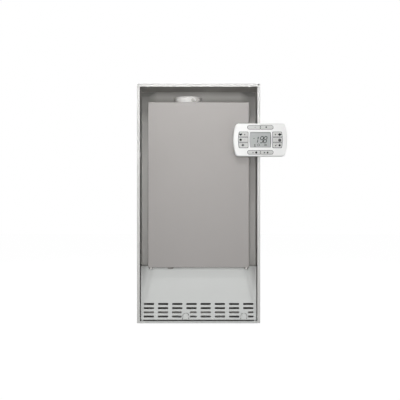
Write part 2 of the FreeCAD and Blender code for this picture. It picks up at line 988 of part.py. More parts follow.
def burner_tube():
    # Closed perforated-sheet cylinder with a flange behind the door
    start = exchanger_front_y
    end = start + burner_length
    can = lying(burner_radius, flue_x, exchanger_z, start, end)
    flange = lying(burner_radius + burner_flange, flue_x, exchanger_z, start, start + burner_flange_thickness)
    hollow = lying(burner_radius - burner_sheet, flue_x, exchanger_z, start - cut_over, end - burner_sheet)
    return join([can, flange]).cut(hollow)


def ignition_electrodes():
    rods = []
    for x, z in electrode_positions():
        collar_y = door_y - electrode_collar_length
        pin = lying(electrode_radius, x, z, collar_y - electrode_tail, exchanger_front_y + electrode_reach)
        collar = lying(electrode_collar, x, z, collar_y, door_y)
        rods.append(join([pin, collar]))
    return Part.makeCompound(rods)


# Fan, mixer and gas train

def fan_housing():
    # Round volute with its outlet running left into the door's duct
    volute = rod(fan_radius, (fan_x, fan_front_y, fan_z), (fan_x, fan_back_y, fan_z))
    duct_y = door_y - duct_depth
    half = duct_height / 2
    outlet = block(duct_end_x, fan_x, duct_y, door_y, exchanger_z - half, exchanger_z + half)
    cavity = lying(fan_radius - fan_wall, fan_x, fan_z, fan_front_y + fan_wall, fan_back_y - fan_wall)
    inner = half - duct_wall
    channel = block(
        duct_end_x - cut_over, fan_x, duct_y + duct_wall, door_y - duct_wall,
        exchanger_z - inner, exchanger_z + inner,
    )
    inlet_y = fan_back_y - fan_wall - cut_over
    inlet = lying(mixer_throat + fan_inlet_margin, fan_x, fan_z, inlet_y, fan_back_y + cut_over)
    shaft_y = fan_front_y + fan_wall + cut_over
    shaft = lying(fan_shaft_radius + fan_shaft_gap, fan_x, fan_z, fan_front_y - cut_over, shaft_y)
    return join([volute, outlet]).cut(join([cavity, channel])).cut(Part.makeCompound([inlet, shaft]))


def fan_impeller():
    # Open wheel: disc, hub, shaft and backward-leaning blades
    disc_y = fan_front_y + fan_wall + impeller_gap
    blade_back = fan_back_y - fan_wall - impeller_gap
    disc = lying(impeller_radius, fan_x, fan_z, disc_y, disc_y + impeller_disc)
    hub = lying(fan_shaft_radius * 2.2, fan_x, fan_z, disc_y, disc_y + impeller_hub)
    shaft_y = fan_front_y - fan_motor_length * 0.6
    shaft = lying(fan_shaft_radius, fan_x, fan_z, shaft_y, disc_y + impeller_disc)
    half = blade_thickness / 2
    blades = []
    for step in range(impeller_blades):
        blade = block(impeller_radius * 0.55, impeller_radius * 0.98, disc_y, blade_back, -half, half)
        blade.rotate(point(impeller_radius * 0.8, 0, 0), point(0, 1, 0), blade_angle)
        blade.rotate(point(0, 0, 0), point(0, 1, 0), 360.0 * step / impeller_blades)
        blade.translate(point(fan_x, 0, fan_z))
        blades.append(blade)
    return join([disc, hub, shaft] + blades)


def fan_motor():
    front = fan_front_y - fan_motor_length
    can = rod(fan_motor_radius, (fan_x, front, fan_z), (fan_x, fan_front_y, fan_z))
    can = soften(can, fan_motor_round, lambda e: e.BoundBox.YMax < front + 1e-3)
    bore_y = fan_front_y - fan_motor_length * 0.7
    bore = lying(fan_shaft_radius + running_clearance, fan_x, fan_z, bore_y, fan_front_y + cut_over)
    return can.cut(bore)


def gas_mixer():
    # Venturi: flange on the fan, narrow throat, air horn at the rear, gas port below
    throat = mixer_throat
    outer = mixer_radius
    profile = [
        (throat + mixer_wall, 0), (outer + mixer_flange, 0), (outer + mixer_flange, mixer_flange_thickness),
        (throat + 2 * mixer_wall, mixer_flange_thickness), (throat + mixer_wall, mixer_length * 0.4),
        (outer, mixer_length), (outer - mixer_wall, mixer_length), (throat, mixer_length * 0.4),
    ]
    body = turned(profile, fan_x, fan_back_y, fan_z, point(0, 1, 0))
    stub_low = fan_z - outer - mixer_stub
    bore = gas_pipe_radius - gas_pipe_wall
    stub = tube(
        gas_pipe_radius + boss_wall, bore,
        (fan_x, mixer_port_y, stub_low), (fan_x, mixer_port_y, fan_z - throat - mixer_wall / 2),
    )
    port = upright(bore, fan_x, mixer_port_y, stub_low - cut_over, fan_z - throat + mixer_wall)
    return join([body, stub]).cut(port)


def gas_valve_bounds():
    x0 = -gas_valve_width * 0.36
    y1 = pipe_y + gas_pipe_radius + gas_back_margin
    return x0, x0 + gas_valve_width, y1 - gas_valve_depth, y1


def gas_valve():
    x0, x1, y0, y1 = gas_valve_bounds()
    top = gas_valve_z + gas_valve_height
    body = soften(block(x0, x1, y0, y1, gas_valve_z, top), gas_valve_round, along_y)
    middle_x = (x0 + x1) / 2
    middle_z = (gas_valve_z + top) / 2
    coil = lying(gas_valve_depth * 0.28, middle_x, middle_z, y0 - gas_coil_length, y0)
    nut = gas_pipe_radius + boss_wall
    inlet_z = gas_valve_z - gas_nut_length
    inlet = upright(nut, 0, pipe_y, inlet_z, gas_valve_z)
    outlet_x = x1 + gas_nut_length
    outlet_z = gas_outlet_z()
    outlet = rod(nut, (x1, mixer_port_y, outlet_z), (outlet_x, mixer_port_y, outlet_z))
    bore = gas_pipe_radius - gas_pipe_wall
    bores = [
        upright(bore, 0, pipe_y, inlet_z - cut_over, gas_valve_z + gas_bore_depth),
        rod(bore, (x1 - gas_bore_depth, mixer_port_y, outlet_z), (outlet_x, mixer_port_y, outlet_z)),
    ]
    return join([body, coil, inlet, outlet]).cut(Part.makeCompound(bores))


def gas_outlet_z():
    return gas_valve_z + gas_valve_height * 0.6


def gas_pipes():
    # Supply from the gas cock up to the valve, and the run from the valve to the mixer
    bore = gas_pipe_radius - gas_pipe_wall
    inlet_z = gas_valve_z - gas_nut_length
    supply = tube(gas_pipe_radius, bore, (0, pipe_y, valve_top_z), (0, pipe_y, inlet_z))
    outlet_x = gas_valve_bounds()[1] + gas_nut_length
    outlet_z = gas_outlet_z()
    run = [
        (outlet_x, mixer_port_y, outlet_z), (fan_x, mixer_port_y, outlet_z),
        (fan_x, mixer_port_y, fan_z - mixer_radius - mixer_stub),
    ]
    return Part.makeCompound([supply, bent_tube(run, gas_pipe_radius, bore, pipe_bend * 0.8)])


# Water side

def pipe_positions():
    return [-2 * pipe_pitch, -pipe_pitch, 0, pipe_pitch, 2 * pipe_pitch]


def water_block(side):
    # Hydraulic group on the casing floor; its two ports take the pipes from below
    low_x, high_x = sorted((side * block_inner_x, side * block_outer_x))
    body = block(low_x, high_x, block_front_y, block_back_y, block_bottom_z, block_top_z)
    body = soften(body, block_round, along_y)
    ports = []
    bores = []
    for step in (1, 2):
        x = side * pipe_pitch * step
        ports.append(upright(pipe_radius + boss_wall, x, pipe_y, floor_top_z, block_bottom_z))
        bore_top = block_bottom_z + pipe_seat + pipe_seat_gap
        bores.append(upright(pipe_radius + fit_gap, x, pipe_y, floor_top_z - cut_over, bore_top))
    return join([body] + ports).cut(Part.makeCompound(bores))


def flow_pipe_x():
    return -(block_outer_x - pipe_radius - flow_pipe_inset)


def water_pipes():
    # Connection tails, the flow run to the left block and the return run from the pump
    bore = pipe_radius - pipe_wall
    pipes = []
    for x in pipe_positions():
        if x != 0:
            high = block_bottom_z + pipe_seat
            pipes.append(tube(pipe_radius, bore, (x, pipe_y, valve_top_z), (x, pipe_y, high)))
    flow_z = exchanger_z + port_z
    flow = [
        (flue_x - port_x - port_length, pipe_y, flow_z), (flow_pipe_x(), pipe_y, flow_z),
        (flow_pipe_x(), pipe_y, block_top_z),
    ]
    return_z = exchanger_z - port_z
    back = [
        (flue_x + port_x + port_length, pipe_y, return_z), (pump_x, pipe_y, return_z),
        (pump_x, pipe_y, pump_z + pump_radius + pump_neck),
    ]
    pipes.append(bent_tube(flow, pipe_radius, bore, pipe_bend))
    pipes.append(bent_tube(back, pipe_radius, bore, pipe_bend))
    tap_z = block_bottom_z + block_height / 2
    tap = [(nipple_x, block_back_y, tap_z), (nipple_x, nipple_y, tap_z), (nipple_x, nipple_y, vessel_z)]
    pipes.append(bent_tube(tap, nipple_radius, nipple_bore, nipple_bend))
    return Part.makeCompound(pipes)


def pump_housing():
    drum = lying(pump_radius, pump_x, pump_z, pump_front_y, pump_back_y)
    high = pump_z + pump_radius + pump_neck
    neck = upright(pipe_radius + boss_wall, pump_x, pipe_y, block_top_z, high)
    body = join([drum, neck])
    wall_y = pump_front_y + pump_wall
    cavity = lying(pump_radius - pump_wall, pump_x, pump_z, wall_y, pump_back_y - pump_wall)
    mouth = lying(pump_radius * 0.6, pump_x, pump_z, pump_front_y - cut_over, wall_y + cut_over)
    bore = upright(pipe_radius - pipe_wall, pump_x, pipe_y, block_top_z - cut_over, high + cut_over)
    return body.cut(join([cavity, mouth])).cut(bore)


def pump_impeller():
    front = pump_front_y + wheel_gap
    back = pump_back_y - wheel_gap
    radius = pump_radius * 0.72
    disc = lying(radius, pump_x, pump_z, front, front + wheel_disc)
    shaft_end = pump_front_y - pump_motor_length * 0.5
    shaft = lying(pump_shaft_radius, pump_x, pump_z, shaft_end, back)
    half = vane_thickness / 2
    vanes = []
    for step in range(pump_vanes):
        vane = block(pump_shaft_radius * 0.8, radius * 0.95, front, back, -half, half)
        vane.rotate(point(0, 0, 0), point(0, 1, 0), 360.0 * step / pump_vanes)
        vane.translate(point(pump_x, 0, pump_z))
        vanes.append(vane)
    return join([disc, shaft] + vanes)


def pump_motor():
    flange_y = pump_front_y - pump_flange
    front = flange_y - pump_motor_length
    flange = lying(pump_radius - pump_flange_inset, pump_x, pump_z, flange_y, pump_front_y)
    can = lying(pump_motor_radius, pump_x, pump_z, front, flange_y)
    can = soften(can, pump_motor_round, lambda e: e.BoundBox.YMax < front + 1e-3)
    bore_radius = pump_shaft_radius + running_clearance
    bore = lying(bore_radius, pump_x, pump_z, front + pump_bore_stop, pump_front_y + cut_over)
    return join([flange, can]).cut(bore)


def plate_exchanger():
    # Brazed plate pack across the front of both blocks, ribbed by its plate edges
    half = plate_length / 2
    low = block_bottom_z
    back = block_front_y
    front = back - plate_depth
    pitch = plate_depth / plate_ribs
    plates = []
    for step in range(plate_ribs):
        y = front + step * pitch
        inset = plate_rib_inset if step % 2 else 0.0
        corners = [
            (-half + inset, low + inset), (half - inset, low + inset),
            (half - inset, low + plate_height - inset), (-half + inset, low + plate_height - inset),
        ]
        plates.append(prism(corners, plate_corner, facing, y, pitch))
    return join(plates)


def diverter_motor():
    x1 = trap_x - trap_radius - diverter_gap
    x0 = x1 - diverter_width
    low = block_bottom_z + diverter_gap
    case = block(x0, x1, block_front_y - diverter_depth, block_front_y, low, low + diverter_height)
    return soften(case, diverter_round, along_y)


def safety_valve():
    # Brass neck with a turned cap, standing off the front of the return block
    x = block_outer_x - safety_inset
    z = block_bottom_z + block_height * 0.4
    end = safety_length
    profile = [
        (0, 0), (safety_neck, 0), (safety_neck, safety_neck_length),
        (safety_cap, safety_neck_length + safety_round / 2), (safety_cap, end - safety_round),
        (safety_cap - safety_round, end), (0, end),
    ]
    return turned(profile, x, block_front_y, z, point(0, -1, 0))


def expansion_vessel():
    # Flat pressed vessel lying against the rear frame, filled through a nipple in its underside
    hole = upright(nipple_bore, nipple_x, nipple_y, vessel_z - cut_over, vessel_z + vessel_wall + cut_over)
    return vessel_form(0).cut(vessel_form(vessel_wall)).cut(hole)


def vessel_form(inset):
    left = vessel_x - vessel_width / 2 + inset
    right = vessel_x + vessel_width / 2 - inset
    low = vessel_z + inset
    high = vessel_z + vessel_height - inset
    front = vessel_front_y + inset
    corners = [(left, low), (right, low), (right, high), (left, high)]
    pack = prism(corners, vessel_corner - inset, facing, front, vessel_depth - 2 * inset)
    return soften(pack, vessel_round - inset, lambda e: e.BoundBox.YMax < front + 1e-3)


def trap_top_z():
    return floor_z - trap_hang + trap_height


def drain_hose_y():
    return block_front_y - hose_radius - drain_hose_gap


def trap_outlet_z():
    return floor_top_z + trap_height * 0.35


def condensate_trap():
    # Siphon bottle whose narrow round cup hangs below the casing floor
    top = trap_height
    seat = floor_top_z - (floor_z - trap_hang)
    profile = [
        (0, 0), (trap_cup_radius - trap_cup_round, 0),
        (trap_cup_radius - trap_cup_round / 3, trap_cup_round / 3), (trap_cup_radius, trap_cup_round),
        (trap_cup_radius, seat), (trap_radius, seat), (trap_radius, top - trap_shoulder),
        (trap_radius - trap_shoulder, top), (0, top),
    ]
    bottle = turned(profile, trap_x, trap_y, floor_z - trap_hang, point(0, 0, 1))
    barb = hose_radius - hose_wall - fit_gap
    high = trap_top_z()
    inlet = upright(barb, trap_x, trap_y, high - trap_shoulder, high + barb_length)
    z = trap_outlet_z()
    half = hose_radius - elbow_margin
    elbow = block(trap_x - half, trap_x + half, trap_y, drain_hose_y() + half, z - half, z + half)
    spigot = upright(barb, trap_x, drain_hose_y(), z - half - spigot_length, z)
    return join([bottle, inlet, elbow, spigot])


def condensate_hoses():
    # Hose from the exchanger's drain to the trap, and the trap's own outlet
    bore = hose_radius - hose_wall
    top = trap_top_z()
    x = drain_x()
    fall = drain_z() - top
    run = [
        (x, 0, drain_z() + hose_lap), (x, 0, drain_z() - fall * 0.3),
        (trap_x, trap_y, top + fall * 0.3), (trap_x, trap_y, top + fit_gap),
    ]
    high = trap_outlet_z() - hose_radius + elbow_margin - fit_gap
    outlet = tube(hose_radius, bore, (trap_x, drain_hose_y(), valve_top_z), (trap_x, drain_hose_y(), high))
    return Part.makeCompound([bent_tube(run, hose_radius, bore, pipe_bend), outlet])


def electronics_box():
    # Control electronics in a lidded case on the casing's right side
    x1 = casing_half - casing_sheet
    x0 = x1 - electronics_width
    lid_back = wrap_y
    lid_front = lid_back - electronics_lid
    top = electronics_z + electronics_height
    case_x = x1 - electronics_lid
    case = block(x0, case_x, lid_back, lid_front + electronics_depth, electronics_z, top)
    lap = electronics_lap
    lid = block(x0 - lap, case_x + lap, lid_front, lid_back, electronics_z - lap, top + lap)
    lid = soften(lid, electronics_round, along_y)
    arm_y = lid_front + electronics_arm_inset
    arms = []
    for z in (electronics_z + electronics_arm_inset, top - electronics_arm_inset - electronics_arm):
        arms.append(block(case_x, x1, arm_y, arm_y + electronics_arm, z, z + electronics_arm))
    return join([case, lid] + arms)


# Service valves

def valve_body(x, stem):
    low = valve_low_z
    ball = stem_z
    neck = pipe_radius + valve_neck
    waist = valve_radius - valve_waist
    nut_z = valve_top_z - valve_nut_height
    profile = [
        (0, low), (neck, low), (neck, low + valve_socket_depth), (waist, ball - valve_ball),
        (valve_radius, ball - valve_belt), (valve_radius, ball + valve_belt), (waist, ball + valve_ball),
        (neck, nut_z), (neck + valve_nut, nut_z), (neck + valve_nut, valve_top_z), (0, valve_top_z),
    ]
    body = turned(profile, x, pipe_y, 0, point(0, 0, 1))
    socket = upright(valve_socket, x, pipe_y, low - cut_over, low + valve_socket_depth)
    body = body.cut(socket)
    if not stem:
        return body
    boss_y = stem_boss_y()
    boss = lying(valve_boss_radius, x, ball, boss_y, pipe_y)
    pin = lying(stem_radius, x, ball, boss_y - stem_length, boss_y)
    return join([body, boss, pin])


def stem_boss_y():
    return pipe_y - valve_radius - valve_boss_length


def service_valves():
    bodies = []
    for x in pipe_positions():
        bodies.append(valve_body(x, x != -pipe_pitch))
    return Part.makeCompound(bodies)


def valve_lever(x):
    # Flat lever on the valve stem, pointing down when the valve is open
    back = stem_boss_y() - fit_gap
    front = back - lever_hub_length
    hub = lying(lever_hub_radius, x, stem_z, front, back)
    half = lever_width / 2
    tip_z = stem_z - lever_length
    corners = [(x - half, tip_z), (x + half, tip_z), (x + half, stem_z), (x - half, stem_z)]
    arm = prism(corners, half * 0.9, facing, front, lever_thickness)
    bore = lying(stem_radius + running_clearance, x, stem_z, front - cut_over, back + cut_over)
    return join([hub, arm]).cut(bore)


# Remote control

def control_outline(inset):
    # Straight top and bottom, both sides bowed outwards, corners rounded
    half_w = control_width / 2 - inset
    half_h = control_height / 2 - inset
    corner_x = half_w - control_bulge
    top = Part.LineSegment(point(-corner_x, 0, half_h), point(corner_x, 0, half_h)).toShape()
    right = Part.Arc(point(corner_x, 0, half_h), point(half_w, 0, 0), point(corner_x, 0, -half_h)).toShape()
    low = Part.LineSegment(point(corner_x, 0, -half_h), point(-corner_x, 0, -half_h)).toShape()
    left = Part.Arc(point(-corner_x, 0, -half_h), point(-half_w, 0, 0), point(-corner_x, 0, half_h)).toShape()
    return Part.Face(Part.Wire([top, right, low, left]))


def control_slab(inset, y0, y1):
    face = control_outline(inset)
    face.translate(point(control_x, y0, control_z))
    slab = face.extrude(point(0, y1 - y0, 0))
    return soften(slab, control_corner - inset, along_y)


def plate_screw_x():
    return half_width - rim_width / 2


def plate_screw_heights():
    return control_z - plate_size_z * 0.36, control_z + plate_size_z * 0.36


def hook_positions():
    return control_x - hook_spacing / 2, control_x + hook_spacing / 2


def hook_z():
    return control_z + hook_rise


def control_wall_plate():
    # Plate screwed to the rim, with two upturned hooks that carry the control
    half_x = plate_size_x / 2
    half_z = plate_size_z / 2
    corners = [
        (control_x - half_x, control_z - half_z), (control_x + half_x, control_z - half_z),
        (control_x + half_x, control_z + half_z), (control_x - half_x, control_z + half_z),
    ]
    plate = prism(corners, plate_corner_radius, facing, plate_y, plate_thickness)
    lip_back = rear_y - shell_wall - fit_gap
    lip_front = lip_back - hook_lip_thickness
    hooks = []
    for x in hook_positions():
        x0 = x - hook_width / 2
        x1 = x + hook_width / 2
        low = hook_z()
        hooks.append(block(x0, x1, lip_front, plate_y, low, low + hook_stem))
        hooks.append(block(x0, x1, lip_front, lip_back, low, low + hook_lip))
    plate = join([plate] + hooks)
    for z in plate_screw_heights():
        x = plate_screw_x()
        plate = plate.cut(lying(screw_radius + fit_gap, x, z, plate_y - cut_over, front_y + cut_over))
        sink_y = plate_y + screw_head_height
        plate = plate.cut(lying(screw_head_radius + fit_gap, x, z, plate_y - cut_over, sink_y))
    return plate


def control_screws():
    screws = []
    x = plate_screw_x()
    for z in plate_screw_heights():
        head = lying(screw_head_radius, x, z, plate_y, plate_y + screw_head_height)
        shank = lying(screw_radius, x, z, plate_y + cut_over, front_y + control_screw_shank)
        screws.append(join([head, shank]))
    return Part.makeCompound(screws)


def control_rear_shell():
    # Tray with a slot over each hook and four posts that carry the circuit board
    tray = control_slab(0, seam_y, rear_y)
    hollow = control_slab(shell_wall, seam_y - cut_over, rear_y - shell_wall)
    shell = tray.cut(hollow)
    for x in hook_positions():
        half = hook_width / 2 + hook_play
        low = hook_z() - hook_travel - hook_play
        high = hook_z() + hook_stem
        slot_y = rear_y - shell_wall - cut_over
        shell = shell.cut(block(x - half, x + half, slot_y, rear_y + cut_over, low, high))
    posts = []
    reach_x = board_half_x() - post_inset
    reach_z = board_half_z() - post_inset
    for x in (control_x - reach_x, control_x + reach_x):
        for z in (control_z - reach_z, control_z + reach_z):
            posts.append(lying(post_radius, x, z, board_y, rear_y - shell_wall * 0.5))
    return join([shell] + posts)


def board_half_x():
    return control_width / 2 - control_bulge - shell_wall - board_margin


def board_half_z():
    return control_height / 2 - shell_wall - board_margin


def control_board():
    half_x = board_half_x()
    half_z = board_half_z()
    corners = [
        (control_x - half_x, control_z - half_z), (control_x + half_x, control_z - half_z),
        (control_x + half_x, control_z + half_z), (control_x - half_x, control_z + half_z),
    ]
    return prism(corners, control_corner, facing, board_y - board_thickness, board_thickness)


def bowed_field(x0, x1, half_height, bulge_left, bulge_right, radius, y0, y1):
    # Upright field whose left and right sides may bow outwards
    corner_l = x0 + bulge_left
    corner_r = x1 - bulge_right
    top = Part.LineSegment(point(corner_l, 0, half_height), point(corner_r, 0, half_height)).toShape()
    low = Part.LineSegment(point(corner_r, 0, -half_height), point(corner_l, 0, -half_height)).toShape()

    def side(corner, reach, sign):
        start = point(corner, 0, sign * half_height)
        end = point(corner, 0, -sign * half_height)
        if reach == corner:
            return Part.LineSegment(start, end).toShape()
        return Part.Arc(start, point(reach, 0, 0), end).toShape()

    face = Part.Face(Part.Wire([top, side(corner_r, x1, 1), low, side(corner_l, x0, -1)]))
    face.translate(point(0, y0, 0))
    solid = face.extrude(point(0, y1 - y0, 0))
    return soften(solid, radius, along_y)


def key_field(side, spread, y0, y1):
    # Outline of a column of three keys, grown by spread
    x0 = key_inner_x - spread
    x1 = key_outer_x + spread
    half = key_field_height / 2 + spread
    field = bowed_field(x0, x1, half, 0, key_field_bulge, key_corner, y0, y1)
    return field if side > 0 else mirrored(field)


def key_band(index, spread):
    # Height range of one key in a column, counted from the top; the column's ends keep their round corners
    pitch = key_field_height / key_rows
    top = key_field_height / 2
    trim_high = key_spacing / 2 if index > 0 else 0
    trim_low = key_spacing / 2 if index < key_rows - 1 else 0
    high = top - index * pitch - trim_high + spread
    low = top - (index + 1) * pitch + trim_low - spread
    return low, high


def column_key_solid(side, index, spread, y0, y1):
    low, high = key_band(index, spread)
    slab = block(-control_width, control_width, y0, y1, low, high)
    return key_field(side, spread, y0, y1).common(slab)


def bar_key_solid(side, level, spread, y0, y1):
    # One half of the rounded key bar above or below the display
    half = bar_height / 2 + spread
    inner = key_spacing / 2 - spread
    outer = bar_half_length + spread
    z = level * bar_z
    corners = [(inner, z - half), (outer, z - half), (outer, z + half), (inner, z + half)]
    radii = [bar_inner_corner, half * 0.95, half * 0.95, bar_inner_corner]
    face = Part.Face(rounded_wire(corners, radii, facing))
    face.translate(point(0, y0, 0))
    solid = face.extrude(point(0, y1 - y0, 0))
    return solid if side > 0 else mirrored(solid)


def finish_key(build):
    # Cap through the front wall, skirt behind it and a plunger over the switch on the board
    cap = build(0, control_front_y - key_raise, front_wall_y + key_skirt_thickness)
    rim = control_front_y - key_raise
    cap = soften(cap, key_edge, lambda e: e.BoundBox.YMax < rim + 1e-3)
    skirt_y = front_wall_y + key_skirt_gap
    skirt = build(key_gap + key_skirt, skirt_y, skirt_y + key_skirt_thickness)
    middle = cap.BoundBox.Center
    plunger_end = board_y - board_thickness - plunger_gap
    plunger = lying(plunger_radius, middle.x, middle.z, skirt_y, plunger_end)
    key = join([cap, skirt, plunger])
    key.translate(point(control_x, 0, control_z))
    return key


def key_builders():
    builders = {}
    for side, side_name in ((-1, "left"), (1, "right")):
        for index, level in enumerate(("upper", "middle", "lower")):
            builders["key_%s_%s" % (side_name, level)] = (
                lambda s, a, b, side=side, index=index: column_key_solid(side, index, s, a, b)
            )
        for level, level_name in ((1, "top"), (-1, "bottom")):
            builders["key_%s_%s" % (level_name, side_name)] = (
                lambda s, a, b, side=side, level=level: bar_key_solid(side, level, s, a, b)
            )
    return builders


def window_solid(spread, y0, y1):
    half = window_width / 2 + spread
    return bowed_field(
        -half, half, window_height / 2 + spread, window_bulge, window_bulge, window_corner, y0, y1,
    )


def control_front_shell():
    # Moulded front with a bowed outline, rounded front edge, display window and key openings
    body = control_slab(0, control_front_y, seam_y)
    body = soften(body, front_round, lambda e: e.BoundBox.YMax < control_front_y + 1e-3)
    hollow = control_slab(front_wall, front_wall_y, seam_y + cut_over)
    start = control_front_y - cut_over
    end = front_wall_y + cut_over
    cuts = [window_solid(0, start, end)]
    for build in key_builders().values():
        cuts.append(build(key_gap, start, end))
    shell = body.cut(hollow)
    for cut in cuts:
        cut.translate(point(control_x, 0, control_z))
        shell = shell.cut(cut)
    return shell


def display_panel():
    # Liquid-crystal panel between the front wall and the board
    half = window_width / 2 + panel_margin
    high = window_height / 2 + panel_margin
    return block(
        control_x - half, control_x + half, front_wall_y, board_y - board_thickness,
        control_z - high, control_z + high,
    )


# Whole object

def all_nodes():
    nodes = {
        "box_left_side": box_left_side(),
        "box_right_side": box_right_side(),
        "box_top_panel": box_top_panel(),
        "box_bottom_panel": box_bottom_panel(),
        "box_back_panel": box_back_panel(),
        "lower_grille": lower_grille(),
        "hanging_bracket": hanging_bracket(),
        "rear_frame": rear_frame(),
        "casing_wrap": casing_wrap(),
        "casing_floor": casing_floor(),
        "front_cover": front_cover(),
        "cover_screws": cover_screws(),
        "flue_collar": flue_collar(),
        "flue_test_caps": flue_test_caps(),
        "flue_duct": flue_duct(),
        "exchanger_shell": exchanger_shell(),
        "exchanger_coil": exchanger_coil(),
        "burner_door": burner_door(),
        "burner_tube": burner_tube(),
        "ignition_electrodes": ignition_electrodes(),
        "fan_housing": fan_housing(),
        "fan_impeller": fan_impeller(),
        "fan_motor": fan_motor(),
        "gas_mixer": gas_mixer(),
        "gas_valve": gas_valve(),
        "gas_pipes": gas_pipes(),
        "flow_block": water_block(-1),
        "return_block": water_block(1),
        "water_pipes": water_pipes(),
        "pump_housing": pump_housing(),
        "pump_impeller": pump_impeller(),
        "pump_motor": pump_motor(),
        "plate_exchanger": plate_exchanger(),
        "diverter_motor": diverter_motor(),
        "safety_valve": safety_valve(),
        "expansion_vessel": expansion_vessel(),
        "condensate_trap": condensate_trap(),
        "condensate_hoses": condensate_hoses(),
        "electronics_box": electronics_box(),
        "service_valves": service_valves(),
        "flow_valve_lever": valve_lever(-2 * pipe_pitch),
        "gas_cock_lever": valve_lever(0),
        "cold_valve_lever": valve_lever(pipe_pitch),
        "return_valve_lever": valve_lever(2 * pipe_pitch),
        "control_wall_plate": control_wall_plate(),
        "control_screws": control_screws(),
        "control_rear_shell": control_rear_shell(),
        "control_front_shell": control_front_shell(),
        "control_board": control_board(),
        "display_panel": display_panel(),
    }
    for name, build in key_builders().items():
        nodes[name] = finish_key(build)
    return nodes


os.makedirs("parts", exist_ok=True)
for node_name, node_shape in all_nodes().items():
    node_shape.exportStep("parts/%s.step" % node_name)
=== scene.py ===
import math

import bmesh
import bpy
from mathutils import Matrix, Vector


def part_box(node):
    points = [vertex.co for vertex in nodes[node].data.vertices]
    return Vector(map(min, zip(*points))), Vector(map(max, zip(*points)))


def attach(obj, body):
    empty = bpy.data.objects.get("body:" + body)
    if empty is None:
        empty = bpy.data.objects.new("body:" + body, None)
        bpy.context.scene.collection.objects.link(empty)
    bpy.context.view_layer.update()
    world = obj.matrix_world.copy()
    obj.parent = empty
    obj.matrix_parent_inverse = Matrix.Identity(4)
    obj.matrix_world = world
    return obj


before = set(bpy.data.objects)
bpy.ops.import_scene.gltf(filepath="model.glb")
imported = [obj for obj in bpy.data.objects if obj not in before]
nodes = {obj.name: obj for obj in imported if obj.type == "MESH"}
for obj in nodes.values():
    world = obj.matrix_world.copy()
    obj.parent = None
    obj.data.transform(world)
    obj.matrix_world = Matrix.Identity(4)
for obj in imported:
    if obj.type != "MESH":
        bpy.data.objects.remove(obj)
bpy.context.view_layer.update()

scene = bpy.context.scene
mm = 0.001
print("frame loaded,", len(nodes), "nodes")


# Colours and shader helpers

def hexLinear(code):
    # sRGB hex to the linear colour that the shaders take
    parts = [int(code[i:i + 2], 16) / 255 for i in (1, 3, 5)]
    return [c / 12.92 if c <= 0.04045 else ((c + 0.055) / 1.055) ** 2.4 for c in parts] + [1.0]


def perMetre(sizeMm):
    # texture scale whose cells are that many millimetres across
    return 1000.0 / sizeMm


def bandsPerMetre(spacingMm):
    # the same for a wave texture, which runs through 20 radians in one unit
    return perMetre(spacingMm) * math.tau / 20


def addNode(tree, kind, settings=None, links=None):
    node = tree.nodes.new("ShaderNode" + kind)
    for key, value in (settings or {}).items():
        if isinstance(key, int) or key in node.inputs:
            node.inputs[key].default_value = value
        else:
            setattr(node, key, value)
    for key, socket in (links or {}).items():
        tree.links.new(socket, node.inputs[key])
    return node


def startMaterial(name, **shaderValues):
    # a new material: its tree, its Principled shader and the row-frame coordinates
    material = bpy.data.materials.new(name)
    material.use_nodes = True
    tree = material.node_tree
    shader = tree.nodes["Principled BSDF"]
    for key, value in shaderValues.items():
        shader.inputs[key].default_value = value
    place = addNode(tree, "TexCoord").outputs["Object"]
    return material, tree, shader, place


def mottled(tree, place, colours, sizeMm, detail=3.0):
    # two near colours in soft clouds of that size
    cloud = addNode(tree, "TexNoise", {"Scale": perMetre(sizeMm), "Detail": detail}, {"Vector": place})
    mixed = addNode(tree, "Mix", {"data_type": "RGBA", 6: hexLinear(colours[0]), 7: hexLinear(colours[1])},
                    {0: cloud.outputs["Fac"]})
    return mixed.outputs[2]


def grained(tree, place, shader, sizeMm, relief):
    # fine grain of that size; relief is its strength and its depth in mm
    # paint's peel has its real size; moulded, cast and printed grain is finer, and drawn coarser to show
    grain = addNode(tree, "TexNoise", {"Scale": perMetre(sizeMm), "Detail": 2.0}, {"Vector": place})
    bump = addNode(tree, "Bump", {"Strength": relief[0], "Distance": relief[1] * mm},
                   {"Height": grain.outputs["Fac"]})
    tree.links.new(bump.outputs[0], shader.inputs["Normal"])
    return grain.outputs["Fac"]


def turned(tree, place, shader, spacingMm, relief):
    # the lathe's rings, that far apart along the upright axis
    rings = addNode(tree, "TexWave", {"wave_type": "BANDS", "bands_direction": "Z",
                                      "Scale": bandsPerMetre(spacingMm)}, {"Vector": place})
    bump = addNode(tree, "Bump", {"Strength": relief[0], "Distance": relief[1] * mm},
                   {"Height": rings.outputs["Fac"]})
    tree.links.new(bump.outputs[0], shader.inputs["Normal"])
    return rings.outputs["Fac"]


def roughened(tree, shader, pattern, limits):
    # roughness that follows a pattern from the first limit to the second
    spread = addNode(tree, "MapRange", {"To Min": limits[0], "To Max": limits[1]}, {"Value": pattern})
    tree.links.new(spread.outputs[0], shader.inputs["Roughness"])


def coatedPart(name, look, colours, detail=3.0, **shaderValues):
    # any sprayed, dipped, cast or moulded skin: near-even colour over a fine relief
    # its look gives cloud and grain in mm, and the least and most roughness
    material, tree, shader, place = startMaterial(name, **shaderValues)
    tree.links.new(mottled(tree, place, colours, look["cloud"], detail), shader.inputs["Base Color"])
    grain = grained(tree, place, shader, look["grain"], look["relief"])
    roughened(tree, shader, grain, look["rough"])
    return material


def dress(material, *names):
    for name in names:
        slots = nodes[name].data.materials
        slots.clear()
        slots.append(material)


# Recess box

